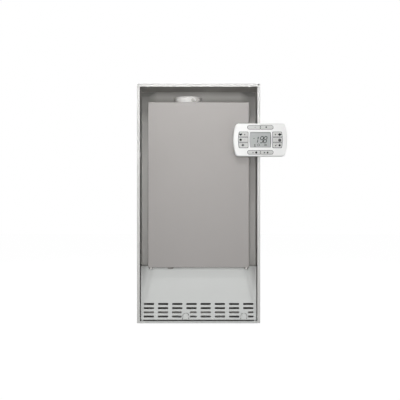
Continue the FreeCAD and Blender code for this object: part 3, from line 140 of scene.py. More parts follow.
recessPaint = {
    "rim": ("#D5D5D3", "#D0D0CD"),      # pale grey powder coat
    "wall": ("#C4C2BE", "#BDBBB7"),     # darker tone on everything behind the rim: painted shade of the recess
    "rimDepth": 3.0,                    # mm behind the front edge where the pale rim tone ends
    "paintedShade": "#74736F",                  # painted shade, high on the back wall
    "shadeTop": (25.0, 0.65),            # mm down from its top edge, and the share of painted shade there
    "shadeSide": (400.0, 0.6),           # the same down each side
    "shadeCorner": (62.0, 0.4),          # and more of it in the two corners
    "sideWide": (82.0, 35.0),           # mm from the side edge where a side begins and is full
    "slotShade": "#4A4845",                # dark painted shade low on the back wall, seen only through the slots
    "slotShadeHeights": (22.0, 235.0),        # mm above the floor
    "faceSlack": 0.5,                   # mm either side that still count as the back wall's face
    "cloud": 180.0,
    "grain": 4.5,                       # mm
    "relief": (0.05, 0.3),
    "rough": (0.45, 0.6),
}


def paintedShadeShare(tree, axes, onBack):
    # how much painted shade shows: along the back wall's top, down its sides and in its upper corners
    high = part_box("box_back_panel")[1]
    share = {}
    for part in ("shadeTop", "shadeSide", "shadeCorner"):
        reach, most = recessPaint[part]
        foot = high.z - reach * mm
        rise = addNode(tree, "MapRange", {"From Min": foot, "From Max": high.z, "To Max": most},
                       {"Value": axes.outputs["Z"]})
        share[part] = rise.outputs[0]
    begin, full = (high.x - wide * mm for wide in recessPaint["sideWide"])
    away = addNode(tree, "Math", {"operation": "ABSOLUTE"}, {0: axes.outputs["X"]})
    atSide = addNode(tree, "MapRange", {"From Min": begin, "From Max": full}, {"Value": away.outputs[0]})
    edges = addNode(tree, "Math", {"operation": "ADD"}, {0: share["shadeSide"], 1: share["shadeCorner"]})
    shadeAmount = addNode(tree, "Math", {"operation": "MULTIPLY_ADD"},
                   {0: edges.outputs[0], 1: atSide.outputs[0], 2: share["shadeTop"]})
    paintedShade = addNode(tree, "Math", {"operation": "MULTIPLY", "use_clamp": True},
                   {0: shadeAmount.outputs[0], 1: onBack})
    return paintedShade.outputs[0]


def paintedSlotShade(tree, axes, onBack):
    # 1 on the band of the back wall behind the slots, where shade is painted
    low, high = (z * mm for z in recessPaint["slotShadeHeights"])
    band = addNode(tree, "Math", {"operation": "COMPARE", 1: (low + high) / 2, 2: (high - low) / 2},
                   {0: axes.outputs["Z"]})
    bare = addNode(tree, "Math", {"operation": "MULTIPLY"}, {0: onBack, 1: band.outputs[0]})
    return bare.outputs[0]


def powderCoatedSteel():
    # folded sheet steel: satin powder coat with fine peel; the darker tone behind the rim, the dark patches
    # high on the back wall and the dark band behind the slots are painted shade
    material, tree, shader, place = startMaterial("powder_coated_sheet_steel", IOR=1.5)
    axes = addNode(tree, "SeparateXYZ", links={"Vector": place})
    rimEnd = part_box("box_left_side")[0].y + recessPaint["rimDepth"] * mm
    behindRim = addNode(tree, "Math", {"operation": "GREATER_THAN", 1: rimEnd}, {0: axes.outputs["Y"]})
    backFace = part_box("box_back_panel")[0].y
    onBack = addNode(tree, "Math", {"operation": "COMPARE", 1: backFace, 2: recessPaint["faceSlack"] * mm},
                     {0: axes.outputs["Y"]}).outputs[0]
    rim = mottled(tree, place, recessPaint["rim"], recessPaint["cloud"])
    wall = mottled(tree, place, recessPaint["wall"], recessPaint["cloud"])
    # behind the rim the darker tone is painted shade of the recess
    coat = addNode(tree, "Mix", {"data_type": "RGBA"}, {0: behindRim.outputs[0], 6: rim, 7: wall})
    # painted shade along the back wall's top, down its sides and in its upper corners
    shaded = addNode(tree, "Mix", {"data_type": "RGBA", 7: hexLinear(recessPaint["paintedShade"])},
                      {0: paintedShadeShare(tree, axes, onBack), 6: coat.outputs[2]})
    # painted shade on the back wall behind the slots
    slotShaded = addNode(tree, "Mix", {"data_type": "RGBA", 7: hexLinear(recessPaint["slotShade"])},
                    {0: paintedSlotShade(tree, axes, onBack), 6: shaded.outputs[2]})
    tree.links.new(slotShaded.outputs[2], shader.inputs["Base Color"])
    grain = grained(tree, place, shader, recessPaint["grain"], recessPaint["relief"])
    roughened(tree, shader, grain, recessPaint["rough"])
    return material


grillePaint = {
    "coat": ("#DEE0DE", "#D9DBD9"),
    "paintedShade": "#AAABA9",                  # painted shade in the two upper corners
    "cornerTall": 125.0,                # mm that it reaches down from the top edge
    "cornerWide": (50.0, 17.0),         # mm from the side edge where it begins and is full
    "cloud": 140.0,
    "grain": 4.5,                       # mm, as on the box
    "relief": (0.08, 0.3),
    "rough": (0.45, 0.6),
}


def powderCoatedGrille():
    # pressed sheet in the rim's pale coat, with painted shade in its two upper corners
    material, tree, shader, place = startMaterial("powder_coated_grille_sheet", IOR=1.5)
    axes = addNode(tree, "SeparateXYZ", links={"Vector": place})
    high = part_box("lower_grille")[1]
    begin, full = (high.x - wide * mm for wide in grillePaint["cornerWide"])
    away = addNode(tree, "Math", {"operation": "ABSOLUTE"}, {0: axes.outputs["X"]})
    side = addNode(tree, "MapRange", {"From Min": begin, "From Max": full}, {"Value": away.outputs[0]})
    cornerFoot = high.z - grillePaint["cornerTall"] * mm
    up = addNode(tree, "MapRange", {"From Min": cornerFoot, "From Max": high.z}, {"Value": axes.outputs["Z"]})
    both = addNode(tree, "Math", {"operation": "ADD"}, {0: side.outputs[0], 1: up.outputs[0]})
    # side and height together pass 1 only near a corner
    corner = addNode(tree, "MapRange", {"From Min": 1.0, "From Max": 2.0}, {"Value": both.outputs[0]})
    coat = mottled(tree, place, grillePaint["coat"], grillePaint["cloud"])
    # painted shade in the two upper corners
    shaded = addNode(tree, "Mix", {"data_type": "RGBA", 7: hexLinear(grillePaint["paintedShade"])},
                      {0: corner.outputs[0], 6: coat})
    tree.links.new(shaded.outputs[2], shader.inputs["Base Color"])
    grain = grained(tree, place, shader, grillePaint["grain"], grillePaint["relief"])
    roughened(tree, shader, grain, grillePaint["rough"])
    return material


dress(powderCoatedSteel(), "box_left_side", "box_right_side", "box_top_panel", "box_back_panel")
dress(powderCoatedGrille(), "lower_grille", "box_bottom_panel")
print("recess box coated")


# Boiler casing

casingPaint = {"enamel": ("#8A8785", "#868381"), "cloud": 260.0, "grain": 4.0, "relief": (0.08, 0.3),
               "rough": (0.5, 0.6), "flake": 0.45}


def satinEnamel():
    # sprayed silver-grey enamel with metal flake: even and warm, with a sheen that mirrors the room softly
    return coatedPart("silver_flake_enamel", casingPaint, casingPaint["enamel"], detail=2.0,
                      Metallic=casingPaint["flake"])


zincCoat = {"spangle": ("#A3A7AA", "#82878A"), "flake": 14.0, "scratch": 3.0, "relief": (0.08, 0.1),
            "rough": (0.35, 0.55)}


def galvanisedSteel():
    # hot-dip zinc: pale flat crystals that differ in tone and gloss
    material, tree, shader, place = startMaterial("galvanised_steel", Metallic=1.0)
    light, dark = zincCoat["spangle"]
    flake = addNode(tree, "TexVoronoi", {"Scale": perMetre(zincCoat["flake"])}, {"Vector": place})
    chance = addNode(tree, "SeparateColor", links={"Color": flake.outputs["Color"]})
    mixed = addNode(tree, "Mix", {"data_type": "RGBA", 6: hexLinear(light), 7: hexLinear(dark)},
                    {0: chance.outputs["Red"]})
    tree.links.new(mixed.outputs[2], shader.inputs["Base Color"])
    roughened(tree, shader, chance.outputs["Green"], zincCoat["rough"])
    grained(tree, place, shader, zincCoat["scratch"], zincCoat["relief"])
    return material


screwZinc = {"tone": ("#A9A7A4", "#8E8C89"), "cloud": 9.0, "relief": (0.2, 0.1),
             "turning": 5.03}           # mm between rings; real ones are far finer, drawn coarser to show


def zincPlatedScrews():
    # turned and bright-zinc plated: faint rings from the lathe
    material, tree, shader, place = startMaterial("zinc_plated_turned_steel", Metallic=0.9, Roughness=0.38)
    tree.links.new(mottled(tree, place, screwZinc["tone"], screwZinc["cloud"]), shader.inputs["Base Color"])
    turned(tree, place, shader, screwZinc["turning"], screwZinc["relief"])
    return material


collarPlastic = {
    "body": ("#F0EEEA", "#E8E5E0"),
    "caps": ("#B9B6B0", "#AAA7A1"),
    "cup": ("#8F8B87", "#86827E"),
    "cloud": 45.0,                      # mm; the marks that the flowing melt leaves
    "grain": 1.5,
    "relief": (0.08, 0.15),
    "rough": (0.36, 0.5),
    "waxy": 0.8,                        # share of light that enters the plastic
    "bleed": 14.0,                      # mm that it travels inside
}


def mouldedPolypropylene(name, key):
    # injection moulded PP: waxy, slightly uneven where the melt flowed
    inner = {"Subsurface Weight": collarPlastic["waxy"], "Subsurface Radius": (1, 1, 1),
             "Subsurface Scale": collarPlastic["bleed"] * mm}
    return coatedPart(name, collarPlastic, collarPlastic[key], detail=4.0, IOR=1.49, **inner)


dress(satinEnamel(), "front_cover", "casing_wrap", "casing_floor")
dress(galvanisedSteel(), "hanging_bracket", "rear_frame")
dress(zincPlatedScrews(), "cover_screws", "control_screws")
dress(mouldedPolypropylene("moulded_polypropylene", "body"), "flue_collar", "flue_duct")
dress(mouldedPolypropylene("moulded_polypropylene_trap", "cup"), "condensate_trap")
dress(mouldedPolypropylene("moulded_polypropylene_caps", "caps"), "flue_test_caps")
print("casing and flue finished")


# Works inside the casing

castMetal = {"skin": ("#A4A6A8", "#8E9093"), "cloud": 30.0, "grain": 1.4, "relief": (0.25, 0.25),
             "rough": (0.42, 0.62)}


def dieCastAluminium():
    # die-cast skin: matt silver with a fine sandy grain and darker flow marks
    return coatedPart("die_cast_aluminium", castMetal, castMetal["skin"], detail=5.0, Metallic=1.0)


brushedSheet = {"tone": ("#A9A9AA", "#919193"), "length": 60.0, "rough": (0.22, 0.42),
                "hair": 0.7}            # mm across; real hairlines are far finer, drawn coarser to show


def brushedStainless():
    # rolled stainless: hairlines along the sheet that stretch the highlight
    material, tree, shader, place = startMaterial("brushed_stainless_sheet", Metallic=1.0, Anisotropic=0.5)
    light, dark = brushedSheet["tone"]
    squeeze = brushedSheet["hair"] / brushedSheet["length"]
    streak = addNode(tree, "Mapping", {"Scale": (squeeze, 1, 1)}, {"Vector": place})
    hair = addNode(tree, "TexNoise", {"Scale": perMetre(brushedSheet["hair"]), "Detail": 2.0},
                   {"Vector": streak.outputs[0]})
    mixed = addNode(tree, "Mix", {"data_type": "RGBA", 6: hexLinear(light), 7: hexLinear(dark)},
                    {0: hair.outputs["Fac"]})
    tree.links.new(mixed.outputs[2], shader.inputs["Base Color"])
    roughened(tree, shader, hair.outputs["Fac"], brushedSheet["rough"])
    return material


darkSkins = {
    # motors, wheels and electronics case
    "glass_filled_nylon": {"tone": ("#232325", "#1B1B1D"), "cloud": 20.0, "grain": 0.9,
                           "relief": (0.2, 0.15), "rough": (0.45, 0.62)},
    # hydraulic groups
    "glass_filled_composite": {"tone": ("#3E3F42", "#333437"), "cloud": 6.0, "grain": 1.6,
                               "relief": (0.2, 0.2), "rough": (0.4, 0.6)},
    # condensate hoses
    "extruded_epdm_rubber": {"tone": ("#1D1D1E", "#262627"), "cloud": 14.0, "grain": 2.5,
                             "relief": (0.2, 0.2), "rough": (0.6, 0.8)},
    # pump body
    "e_coated_cast_iron": {"tone": ("#2B2C2E", "#232426"), "cloud": 16.0, "grain": 2.0,
                           "relief": (0.2, 0.4), "rough": (0.4, 0.6)},
}


def darkSkin(name):
    # dark moulded, extruded or dipped skin: its grain breaks up a weak highlight
    return coatedPart(name, darkSkins[name], darkSkins[name]["tone"], detail=4.0)


brassStock = {"tone": ("#C8A65A", "#B18C45"), "cloud": 24.0, "relief": (0.15, 0.1), "rough": (0.25, 0.4),
              "turning": 7.54}          # mm between rings; real ones are far finer, drawn coarser to show


def machinedBrass():
    # turned and machined brass: fine rings along the pipe's axis, a little tarnish
    material, tree, shader, place = startMaterial("machined_brass", Metallic=1.0)
    coat = mottled(tree, place, brassStock["tone"], brassStock["cloud"], detail=4.0)
    tree.links.new(coat, shader.inputs["Base Color"])
    rings = turned(tree, place, shader, brassStock["turning"], brassStock["relief"])
    roughened(tree, shader, rings, brassStock["rough"])
    return material


copperTube = {"tone": ("#BE7A58", "#9A5A40"), "patch": 24.0, "rough": (0.22, 0.5)}


def drawnCopper():
    # drawn tube, browned and dulled in patches where hands and flux have been
    material, tree, shader, place = startMaterial("drawn_copper_tube", Metallic=1.0)
    bright, brown = copperTube["tone"]
    patches = addNode(tree, "TexNoise", {"Scale": perMetre(copperTube["patch"]), "Detail": 6.0},
                      {"Vector": place})
    mixed = addNode(tree, "Mix", {"data_type": "RGBA", 6: hexLinear(bright), 7: hexLinear(brown)},
                    {0: patches.outputs["Fac"]})
    tree.links.new(mixed.outputs[2], shader.inputs["Base Color"])
    roughened(tree, shader, patches.outputs["Fac"], copperTube["rough"])
    return material


# sprayed epoxy: glossy, with a little peel
vesselPaint = {"epoxy": ("#93211B", "#861B16"), "cloud": 70.0, "grain": 3.0, "relief": (0.12, 0.2),
               "rough": (0.3, 0.42)}
# dipped vinyl: soft sheen, yellow for gas
leverCoat = {"water": ("#2C2D30", "#242528"), "gas": ("#D8B322", "#C9A31A"), "cloud": 12.0, "grain": 1.0,
             "relief": (0.12, 0.2), "rough": (0.35, 0.5)}
# fired alumina: off-white and smooth
ceramicBody = {"tone": ("#EFEDE8", "#E4E1DA"), "cloud": 5.0, "grain": 0.8, "relief": (0.12, 0.2),
               "rough": (0.3, 0.45)}

dress(dieCastAluminium(), "exchanger_shell", "burner_door", "fan_housing", "gas_mixer", "gas_valve")
dress(brushedStainless(), "exchanger_coil", "burner_tube", "plate_exchanger")
dress(darkSkin("glass_filled_nylon"), "fan_motor", "fan_impeller", "pump_motor", "pump_impeller",
      "diverter_motor", "electronics_box")
dress(darkSkin("glass_filled_composite"), "flow_block", "return_block")
dress(darkSkin("extruded_epdm_rubber"), "condensate_hoses")
dress(darkSkin("e_coated_cast_iron"), "pump_housing")
dress(machinedBrass(), "service_valves", "safety_valve")
dress(drawnCopper(), "water_pipes", "gas_pipes")
dress(coatedPart("epoxy_painted_vessel", vesselPaint, vesselPaint["epoxy"]), "expansion_vessel")
dress(coatedPart("vinyl_dipped_levers", leverCoat, leverCoat["water"]),
      "flow_valve_lever", "cold_valve_lever", "return_valve_lever")
dress(coatedPart("vinyl_dipped_gas_lever", leverCoat, leverCoat["gas"]), "gas_cock_lever")
dress(coatedPart("fired_alumina", ceramicBody, ceramicBody["tone"]), "ignition_electrodes")
print("works finished")


# Remote control

sides = ("left", "right")
keyNames = ["key_%s_%s" % (side, level) for side in sides for level in ("upper", "middle", "lower")]
keyNames += ["key_%s_%s" % (level, side) for level in ("top", "bottom") for side in sides]

# spark-eroded mould: white ABS with a fine satin skin
controlPlastic = {"shell": ("#E6E6E5", "#E3E3E2"), "cloud": 60.0, "grain": 1.0, "relief": (0.12, 0.2),
                  "rough": (0.4, 0.52)}

boardLook = {
    "track": "#1F5A38",
    "resist": "#184A2D",
    "trace": 4.0,                       # mm between tracks
    "traceEdge": 0.12,                  # share of that over which a track fades out
    "grain": 1.2,
    "relief": (0.1, 0.05),
}


def circuitLaminate():
    # glass-epoxy board: green resist with paler copper tracks under it
    material, tree, shader, place = startMaterial("glass_epoxy_laminate", Roughness=0.4)
    track, resist = hexLinear(boardLook["track"]), hexLinear(boardLook["resist"])
    cells = addNode(tree, "TexVoronoi", {"feature": "DISTANCE_TO_EDGE",
                                         "Scale": perMetre(boardLook["trace"])}, {"Vector": place})
    edge = addNode(tree, "MapRange", {"From Max": boardLook["traceEdge"]},
                   {"Value": cells.outputs["Distance"]})
    mixed = addNode(tree, "Mix", {"data_type": "RGBA", 6: track, 7: resist}, {0: edge.outputs[0]})
    tree.links.new(mixed.outputs[2], shader.inputs["Base Color"])
    grained(tree, place, shader, boardLook["grain"], boardLook["relief"])
    return material


keyPlastic = {
    "face": ("#C5C5C3", "#BEBEBC"),
    # dark rubber mat, which is also painted shade in the gaps round the keys
    "matAndGapShade": "#222222",
    "edge": 0.05,                       # mm behind the face where the dark mat, which also paints the gaps' shade, begins to show
    "cloud": 12.0,
    "grain": 0.8,
    "relief": (0.12, 0.2),
    "rough": (0.45, 0.6),
}


def keysOnMat():
    # two-shot keys: pale matt caps, with the dark rubber mat showing in the gaps round them; that dark colour
    # also paints the shade in the gaps
    material, tree, shader, place = startMaterial("moulded_keys_on_rubber_mat")
    axes = addNode(tree, "SeparateXYZ", links={"Vector": place})
    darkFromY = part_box(keyNames[0])[0].y + keyPlastic["edge"] * mm  # the rounded edge is dark already
    deep = addNode(tree, "Math", {"operation": "GREATER_THAN", 1: darkFromY}, {0: axes.outputs["Y"]})
    face = mottled(tree, place, keyPlastic["face"], keyPlastic["cloud"])
    both = addNode(tree, "Mix", {"data_type": "RGBA", 7: hexLinear(keyPlastic["matAndGapShade"])},
                   {0: deep.outputs[0], 6: face})
    tree.links.new(both.outputs[2], shader.inputs["Base Color"])
    grain = grained(tree, place, shader, keyPlastic["grain"], keyPlastic["relief"])
    roughened(tree, shader, grain, keyPlastic["rough"])
    return material


displayFilm = {
    "film": ("#A3A6A5", "#9B9E9C"),
    "frame": "#5E6260",                 # shade under the window's edges
    "frameTop": 5.5,                    # mm of it at the top, the right and the left
    "frameRight": 5.8,
    "frameLeft": 2.6,
    "blur": 1.2,                        # mm over which it fades
    "cloud": 30.0,
}


def crystalFilm():
    # liquid-crystal panel: grey-green film with a soft sheen, darker under the window's top and side edges
    material, tree, shader, place = startMaterial("liquid_crystal_film", Roughness=0.28, IOR=1.5)
    low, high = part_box("display_panel")
    axes = addNode(tree, "SeparateXYZ", links={"Vector": place})
    film = mottled(tree, place, displayFilm["film"], displayFilm["cloud"])
    blur = displayFilm["blur"] * mm
    edges = (("Z", high.z - displayFilm["frameTop"] * mm, blur),
             ("X", high.x - displayFilm["frameRight"] * mm, blur),
             ("X", low.x + displayFilm["frameLeft"] * mm, -blur))
    frameShade = None
    for axis, start, width in edges:
        shade = addNode(tree, "MapRange", {"From Min": start, "From Max": start + width},
                        {"Value": axes.outputs[axis]}).outputs[0]
        if frameShade is None:
            frameShade = shade
        else:
            frameShade = addNode(tree, "Math", {"operation": "MAXIMUM"}, {0: frameShade, 1: shade}).outputs[0]
    mixed = addNode(tree, "Mix", {"data_type": "RGBA", 7: hexLinear(displayFilm["frame"])},
                    {0: frameShade, 6: film})
    tree.links.new(mixed.outputs[2], shader.inputs["Base Color"])
    return material


dress(coatedPart("spark_textured_white_abs", controlPlastic, controlPlastic["shell"]),
      "control_front_shell", "control_rear_shell", "control_wall_plate")
dress(keysOnMat(), *keyNames)
dress(circuitLaminate(), "control_board")
dress(crystalFilm(), "display_panel")
print("control finished")


# Printed signs and display segments: flat outlines in mm about the control's middle, given a small thickness

frontLow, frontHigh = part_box("control_front_shell")
controlMiddle = Vector(((frontLow.x + frontHigh.x) / 2, 0, (frontLow.z + frontHigh.z) / 2))
printSize = {"clear": 0.02, "thick": 0.15}  # mm off the face, so that the two never flicker, and of ink


def disc(x, z, radius, steps=28):
    turn = [math.tau * i / steps for i in range(steps)]
    return [(x + radius * math.cos(a), z + radius * math.sin(a)) for a in turn]


def diamond(x, z, halfWide, halfHigh):
    return [(x + halfWide, z), (x, z + halfHigh), (x - halfWide, z), (x, z - halfHigh)]


def bar(x, z, wide, high, turn=0.0):
    c, s = math.cos(math.radians(turn)), math.sin(math.radians(turn))
    corners = [(wide / 2, high / 2), (-wide / 2, high / 2), (-wide / 2, -high / 2), (wide / 2, -high / 2)]
    return [(x + u * c - v * s, z + u * s + v * c) for u, v in corners]


def heart(x, z, wide, high):
    # two shoulders above, pointed below
    half = [(0, 0.28), (0.14, 0.44), (0.32, 0.5), (0.46, 0.4), (0.5, 0.2), (0.4, -0.06), (0.2, -0.3),
            (0, -0.5)]
    whole = half + [(-u, v) for u, v in reversed(half[1:-1])]
    return [(x + u * wide, z + v * high) for u, v in whole]


def wedge(x, z, size):
    # small arrowhead to the right
    return [(x + 0.55 * size, z), (x - 0.45 * size, z + 0.5 * size), (x - 0.45 * size, z - 0.5 * size)]


def halfRing(x, z, outer, inner, start, sweep=176.0, steps=14):
    # just short of half a turn, so that two of them leave a gap
    turn = [math.radians(start + sweep * i / steps) for i in range(steps + 1)]
    outside = [(x + outer * math.cos(a), z + outer * math.sin(a)) for a in turn]
    return outside + [(x + inner * math.cos(a), z + inner * math.sin(a)) for a in reversed(turn)]


def plus(x, z, size, thick):
    h, t = size / 2, thick / 2
    corners = [(h, t), (t, t), (t, h), (-t, h), (-t, t), (-h, t)]
    corners += [(-u, -v) for u, v in corners]
    return [(x + u, z + v) for u, v in corners]


def printPiece(name, outlines, faceY, body, material):
    # each outline becomes a thin closed plate on the face at faceY
    mesh = bpy.data.meshes.new(name)
    build = bmesh.new()
    backY = faceY - printSize["clear"] * mm
    for outline in outlines:
        places = [(controlMiddle.x + x * mm, backY, controlMiddle.z + z * mm) for x, z in outline]
        back = [build.verts.new(place) for place in places]
        face = build.faces.new(back)
        grown = bmesh.ops.extrude_face_region(build, geom=[face])
        moved = [v for v in grown["geom"] if isinstance(v, bmesh.types.BMVert)]
        bmesh.ops.translate(build, verts=moved, vec=(0, -printSize["thick"] * mm, 0))
    bmesh.ops.recalc_face_normals(build, faces=build.faces)
    build.to_mesh(mesh)
    build.free()
    mesh.materials.append(material)
    piece = bpy.data.objects.new(name, mesh)
    scene.collection.objects.link(piece)
    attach(piece, body)


inkLook = {"black": ("#141414", "#1A1A1A"), "grey": ("#505050", "#5A5A5A"), "pale": ("#9C9C9C", "#A4A4A4"),
           "cloud": 4.0, "grain": 0.7, "relief": (0.12, 0.2), "rough": (0.5, 0.6)}
mattInk = {"Specular IOR Level": 0.15}  # pigment with little binder: hardly any shine
inks = {}
for tone in ("black", "grey", "pale"):
    inks[tone] = coatedPart("pad_printed_%s_ink" % tone, inkLook, inkLook[tone], **mattInk)

keySigns = {
    "key_left_upper": [(heart(-94.8, 25.0, 15.5, 11.5), "black"), (plus(-75.5, 25.3, 7, 2.6), "grey")],
    "key_left_middle": [(disc(-95, 0, 5.9), "black"), (bar(-75.5, 0.4, 7, 1.8), "pale")],
    "key_left_lower": [(diamond(-84.2, -25.5, 7.6, 6.4), "grey")],
    "key_right_upper": [(plus(72.3, 25.3, 7, 2.6), "black"), (diamond(92.9, 25.3, 9.8, 6.8), "black")],
    "key_right_middle": [(bar(72.5, 0.4, 7, 1.8), "pale"), (disc(92.9, -1.8, 7.5), "grey")],
    "key_right_lower": [(disc(73.2, -28.2, 2.8), "black"), (bar(77.5, -24.5, 8, 1.8, 25), "grey"),
                        (disc(92.3, -26.3, 5.2), "black")],
    "key_top_left": [(diamond(-24.8, 60.3, 5.0, 2.6), "pale")],
    "key_top_right": [(disc(28.2, 60.8, 3.9), "grey")],
    "key_bottom_left": [(wedge(-34.6, -61.5, 7), "grey"), (disc(-19.9, -61.0, 5.2), "black")],
    "key_bottom_right": [(wedge(20.2, -61.5, 8.5), "black"), (disc(34.6, -61.4, 4.2), "black")],
}
for keyName, signs in keySigns.items():
    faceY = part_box(keyName)[0].y
    for tone, ink in inks.items():
        outlines = [outline for outline, wanted in signs if wanted == tone]
        if outlines:
            printPiece("sign_%s_%s" % (tone, keyName), outlines, faceY, keyName + "_cap", ink)
print("keys printed")

segmentLook = {"dark": ("#3C403E", "#444846"), "cloud": 4.0, "grain": 0.7, "relief": (0.12, 0.2),
               "rough": (0.35, 0.45)}
segmentInk = coatedPart("liquid_crystal_segments", segmentLook, segmentLook["dark"], **mattInk)
# a figure's measures in mm; slant is how far it leans for each mm of height
segmentLayout = {"width": 13.0, "height": 30.0, "thick": 3.9, "slant": 0.18, "gap": 0.4, "baseZ": -14.0}
litSegments = {"1": "bc", "9": "abcdfg", "8": "abcdefg"}
digitPlaces = {"1": -27.5, "9": -2.5, "8": 14.5}  # each figure's left edge
displayMarks = [
    bar(-30.5, 7, 8, 2.2),
    wedge(-25.5, -24.5, 8),
    bar(-26, -31, 10, 2.4),
    halfRing(-9, -24.5, 6, 4.2, 0),
    halfRing(-9, -24.5, 6, 4.2, 180),
    bar(25, -22.5, 12, 2.2),
    bar(25, -26.5, 12, 2.2),
]


def digitOutlines(digit, leftX):
    # seven-segment figure: six-cornered bars, leaning to the right
    w, h, slant, baseZ = (segmentLayout[key] for key in ("width", "height", "slant", "baseZ"))
    half, gap = segmentLayout["thick"] / 2, segmentLayout["gap"]
    ends = {
        "a": ((0, h), (w, h)), "b": ((w, h), (w, h / 2)), "c": ((w, h / 2), (w, 0)), "d": ((0, 0), (w, 0)),
        "e": ((0, h / 2), (0, 0)), "f": ((0, h), (0, h / 2)), "g": ((0, h / 2), (w, h / 2)),
    }
    made = []
    for letter in litSegments[digit]:
        start, end = (Vector(point) for point in ends[letter])
        along = (end - start).normalized()
        across = Vector((-along.y, along.x)) * half
        start, end = start + along * gap, end - along * gap
        nearStart, nearEnd = start + along * half, end - along * half
        corners = [start, nearStart + across, nearEnd + across, end, nearEnd - across, nearStart - across]
        made.append([(leftX + p.x + slant * p.y, baseZ + p.y) for p in corners])
    return made


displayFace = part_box("display_panel")[0].y
digits = [outline for digit, leftX in digitPlaces.items() for outline in digitOutlines(digit, leftX)]
printPiece("display_digits", digits, displayFace, "control", segmentInk)
printPiece("display_marks", displayMarks, displayFace, "control", segmentInk)
print("display printed")


# Camera at the photo's angle: straight on, a little right of the middle

# metres, degrees, and mm for lens and sensor
cameraSpot = {"at": (0.0069, -3.220, 0.599), "tilt": 90.0, "lens": 57.35, "sensor": 36.0}
cameraData = bpy.data.cameras.new("photo_camera")
cameraData.lens = cameraSpot["lens"]
cameraData.sensor_width = cameraSpot["sensor"]
camera = bpy.data.objects.new("photo_camera", cameraData)
camera.location = cameraSpot["at"]
camera.rotation_euler = (math.radians(cameraSpot["tilt"]), 0, 0)
scene.collection.objects.link(camera)
scene.camera = camera


# Floor, world and lamps

stageLook = {
    "floorSize": 16.0,                  # metres
    "floorDrop": 0.5,                   # mm below the object
    "floor": "#B8B8B8",
    "white": "#FFFFFF",
    "floorGlow": 0.988,                 # whiteness that the camera sees
    "floorShade": "#3F3F3F",            # and the lit share on top, which keeps the shadow
    "skySeen": 1.0,                     # strength that the camera sees
    "skyLight": 0.102,                  # and that lights the object
}


def seenDirectly(tree):
    # 1 for what the camera sees, also in a mirror or through glass
    path = addNode(tree, "LightPath")
    mirrored = addNode(tree, "Math", {"operation": "MAXIMUM"},
                       {0: path.outputs["Is Camera Ray"], 1: path.outputs["Is Glossy Ray"]})
    found = addNode(tree, "Math", {"operation": "MAXIMUM"},
                    {0: mirrored.outputs[0], 1: path.outputs["Is Transmission Ray"]})
    return found.outputs[0]


def whiteRoom():
    # camera, mirror and glass rays see plain white, everything else a dimmer sky
    world = bpy.data.worlds.new("white_room")
    scene.world = world
    world.use_nodes = True
    tree = world.node_tree
    tree.nodes.clear()
    level = addNode(tree, "MapRange", {"To Min": stageLook["skyLight"], "To Max": stageLook["skySeen"]},
                    {"Value": seenDirectly(tree)})
    sky = addNode(tree, "Background", {"Color": hexLinear(stageLook["white"])},
                  {"Strength": level.outputs[0]})
    addNode(tree, "OutputWorld", links={"Surface": sky.outputs[0]})


def underBox(tree):
    # 1 on the floor under the box
    low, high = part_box("box_bottom_panel")
    axes = addNode(tree, "SeparateXYZ", links={"Vector": addNode(tree, "NewGeometry").outputs["Position"]})
    along = addNode(tree, "Math", {"operation": "COMPARE", 1: (low.y + high.y) / 2, 2: (high.y - low.y) / 2},
                    {0: axes.outputs["Y"]})
    across = addNode(tree, "Math", {"operation": "COMPARE", 1: (low.x + high.x) / 2, 2: (high.x - low.x) / 2},
                     {0: axes.outputs["X"]})
    under = addNode(tree, "Math", {"operation": "MULTIPLY"}, {0: along.outputs[0], 1: across.outputs[0]})
    return under.outputs[0]


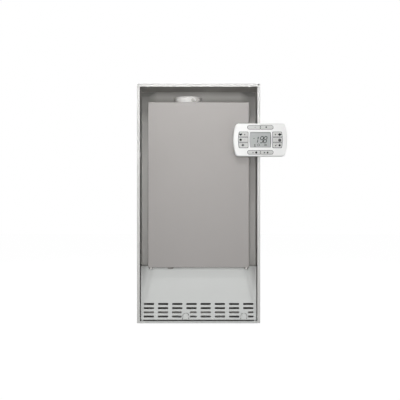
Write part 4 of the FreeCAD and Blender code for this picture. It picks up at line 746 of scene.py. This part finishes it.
def floorPaint():
    # matt pale floor, whitened for the camera; plain under the box, so nothing glows through the slots
    material = bpy.data.materials.new("pale_floor")
    material.use_nodes = True
    tree = material.node_tree
    tree.nodes.clear()
    clear = addNode(tree, "Math", {"operation": "SUBTRACT", 0: 1.0}, {1: underBox(tree)})
    share = addNode(tree, "Math", {"operation": "MULTIPLY"}, {0: seenDirectly(tree), 1: clear.outputs[0]})
    matt = addNode(tree, "BsdfDiffuse", {"Color": hexLinear(stageLook["floor"])})
    glow = addNode(tree, "Emission", {"Color": hexLinear(stageLook["white"]),
                                      "Strength": stageLook["floorGlow"]})
    lit = addNode(tree, "BsdfDiffuse", {"Color": hexLinear(stageLook["floorShade"])})
    white = addNode(tree, "AddShader", links={0: glow.outputs[0], 1: lit.outputs[0]})
    both = addNode(tree, "MixShader", links={0: share.outputs[0], 1: matt.outputs[0], 2: white.outputs[0]})
    addNode(tree, "OutputMaterial", links={"Surface": both.outputs[0]})
    return material


def paleFloor():
    half = stageLook["floorSize"] / 2
    corners = [(-half, -half, 0), (half, -half, 0), (half, half, 0), (-half, half, 0)]
    mesh = bpy.data.meshes.new("floor")
    mesh.from_pydata(corners, [], [(0, 1, 2, 3)])
    mesh.materials.append(floorPaint())
    floor = bpy.data.objects.new("floor", mesh)
    floor.location.z = -stageLook["floorDrop"] * mm
    scene.collection.objects.link(floor)


lampSpread = 180  # degrees, for lamps with no beam of their own
lampSpots = {                           # places and sizes in metres
    "top_lamp": {"at": (-0.06, -1.60, 1.90), "aim": (0.0, -0.10, 1.05), "size": (0.9, 0.3), "watts": 1.3,
                 "spread": 45},
    "front_lamp": {"at": (0.0, -3.60, 0.70), "aim": (0.0, 0.0, 0.6), "size": (0.4, 1.3), "watts": 47.7},
    "left_lamp": {"at": (-2.2, -2.40, 0.5), "aim": (0.0, 0.0, 0.3), "size": (0.5, 0.9), "watts": 12.7},
    "right_lamp": {"at": (2.2, -2.40, 0.5), "aim": (0.0, 0.0, 0.3), "size": (0.5, 0.9), "watts": 12.7},
    # behind the front plane: these two light only the sides, the top and the back
    "rear_left_lamp": {"at": (-2.4, 1.60, 1.6), "aim": (0.0, 0.1, 0.6), "size": (0.9, 0.9), "watts": 36.0},
    "rear_right_lamp": {"at": (2.4, 1.60, 1.6), "aim": (0.0, 0.1, 0.6), "size": (0.9, 0.9), "watts": 36.0},
}


def studioLamps():
    for name, spot in lampSpots.items():
        data = bpy.data.lights.new(name, "AREA")
        data.energy = spot["watts"]
        data.shape = "RECTANGLE"
        data.size, data.size_y = spot["size"]
        data.spread = math.radians(spot.get("spread", lampSpread))
        lamp = bpy.data.objects.new(name, data)
        lamp.location = spot["at"]
        lamp.rotation_euler = (Vector(spot["aim"]) - Vector(spot["at"])).to_track_quat("-Z", "Y").to_euler()
        scene.collection.objects.link(lamp)


whiteRoom()
paleFloor()
studioLamps()
scene.view_settings.view_transform = "Standard"
print("stage lit")
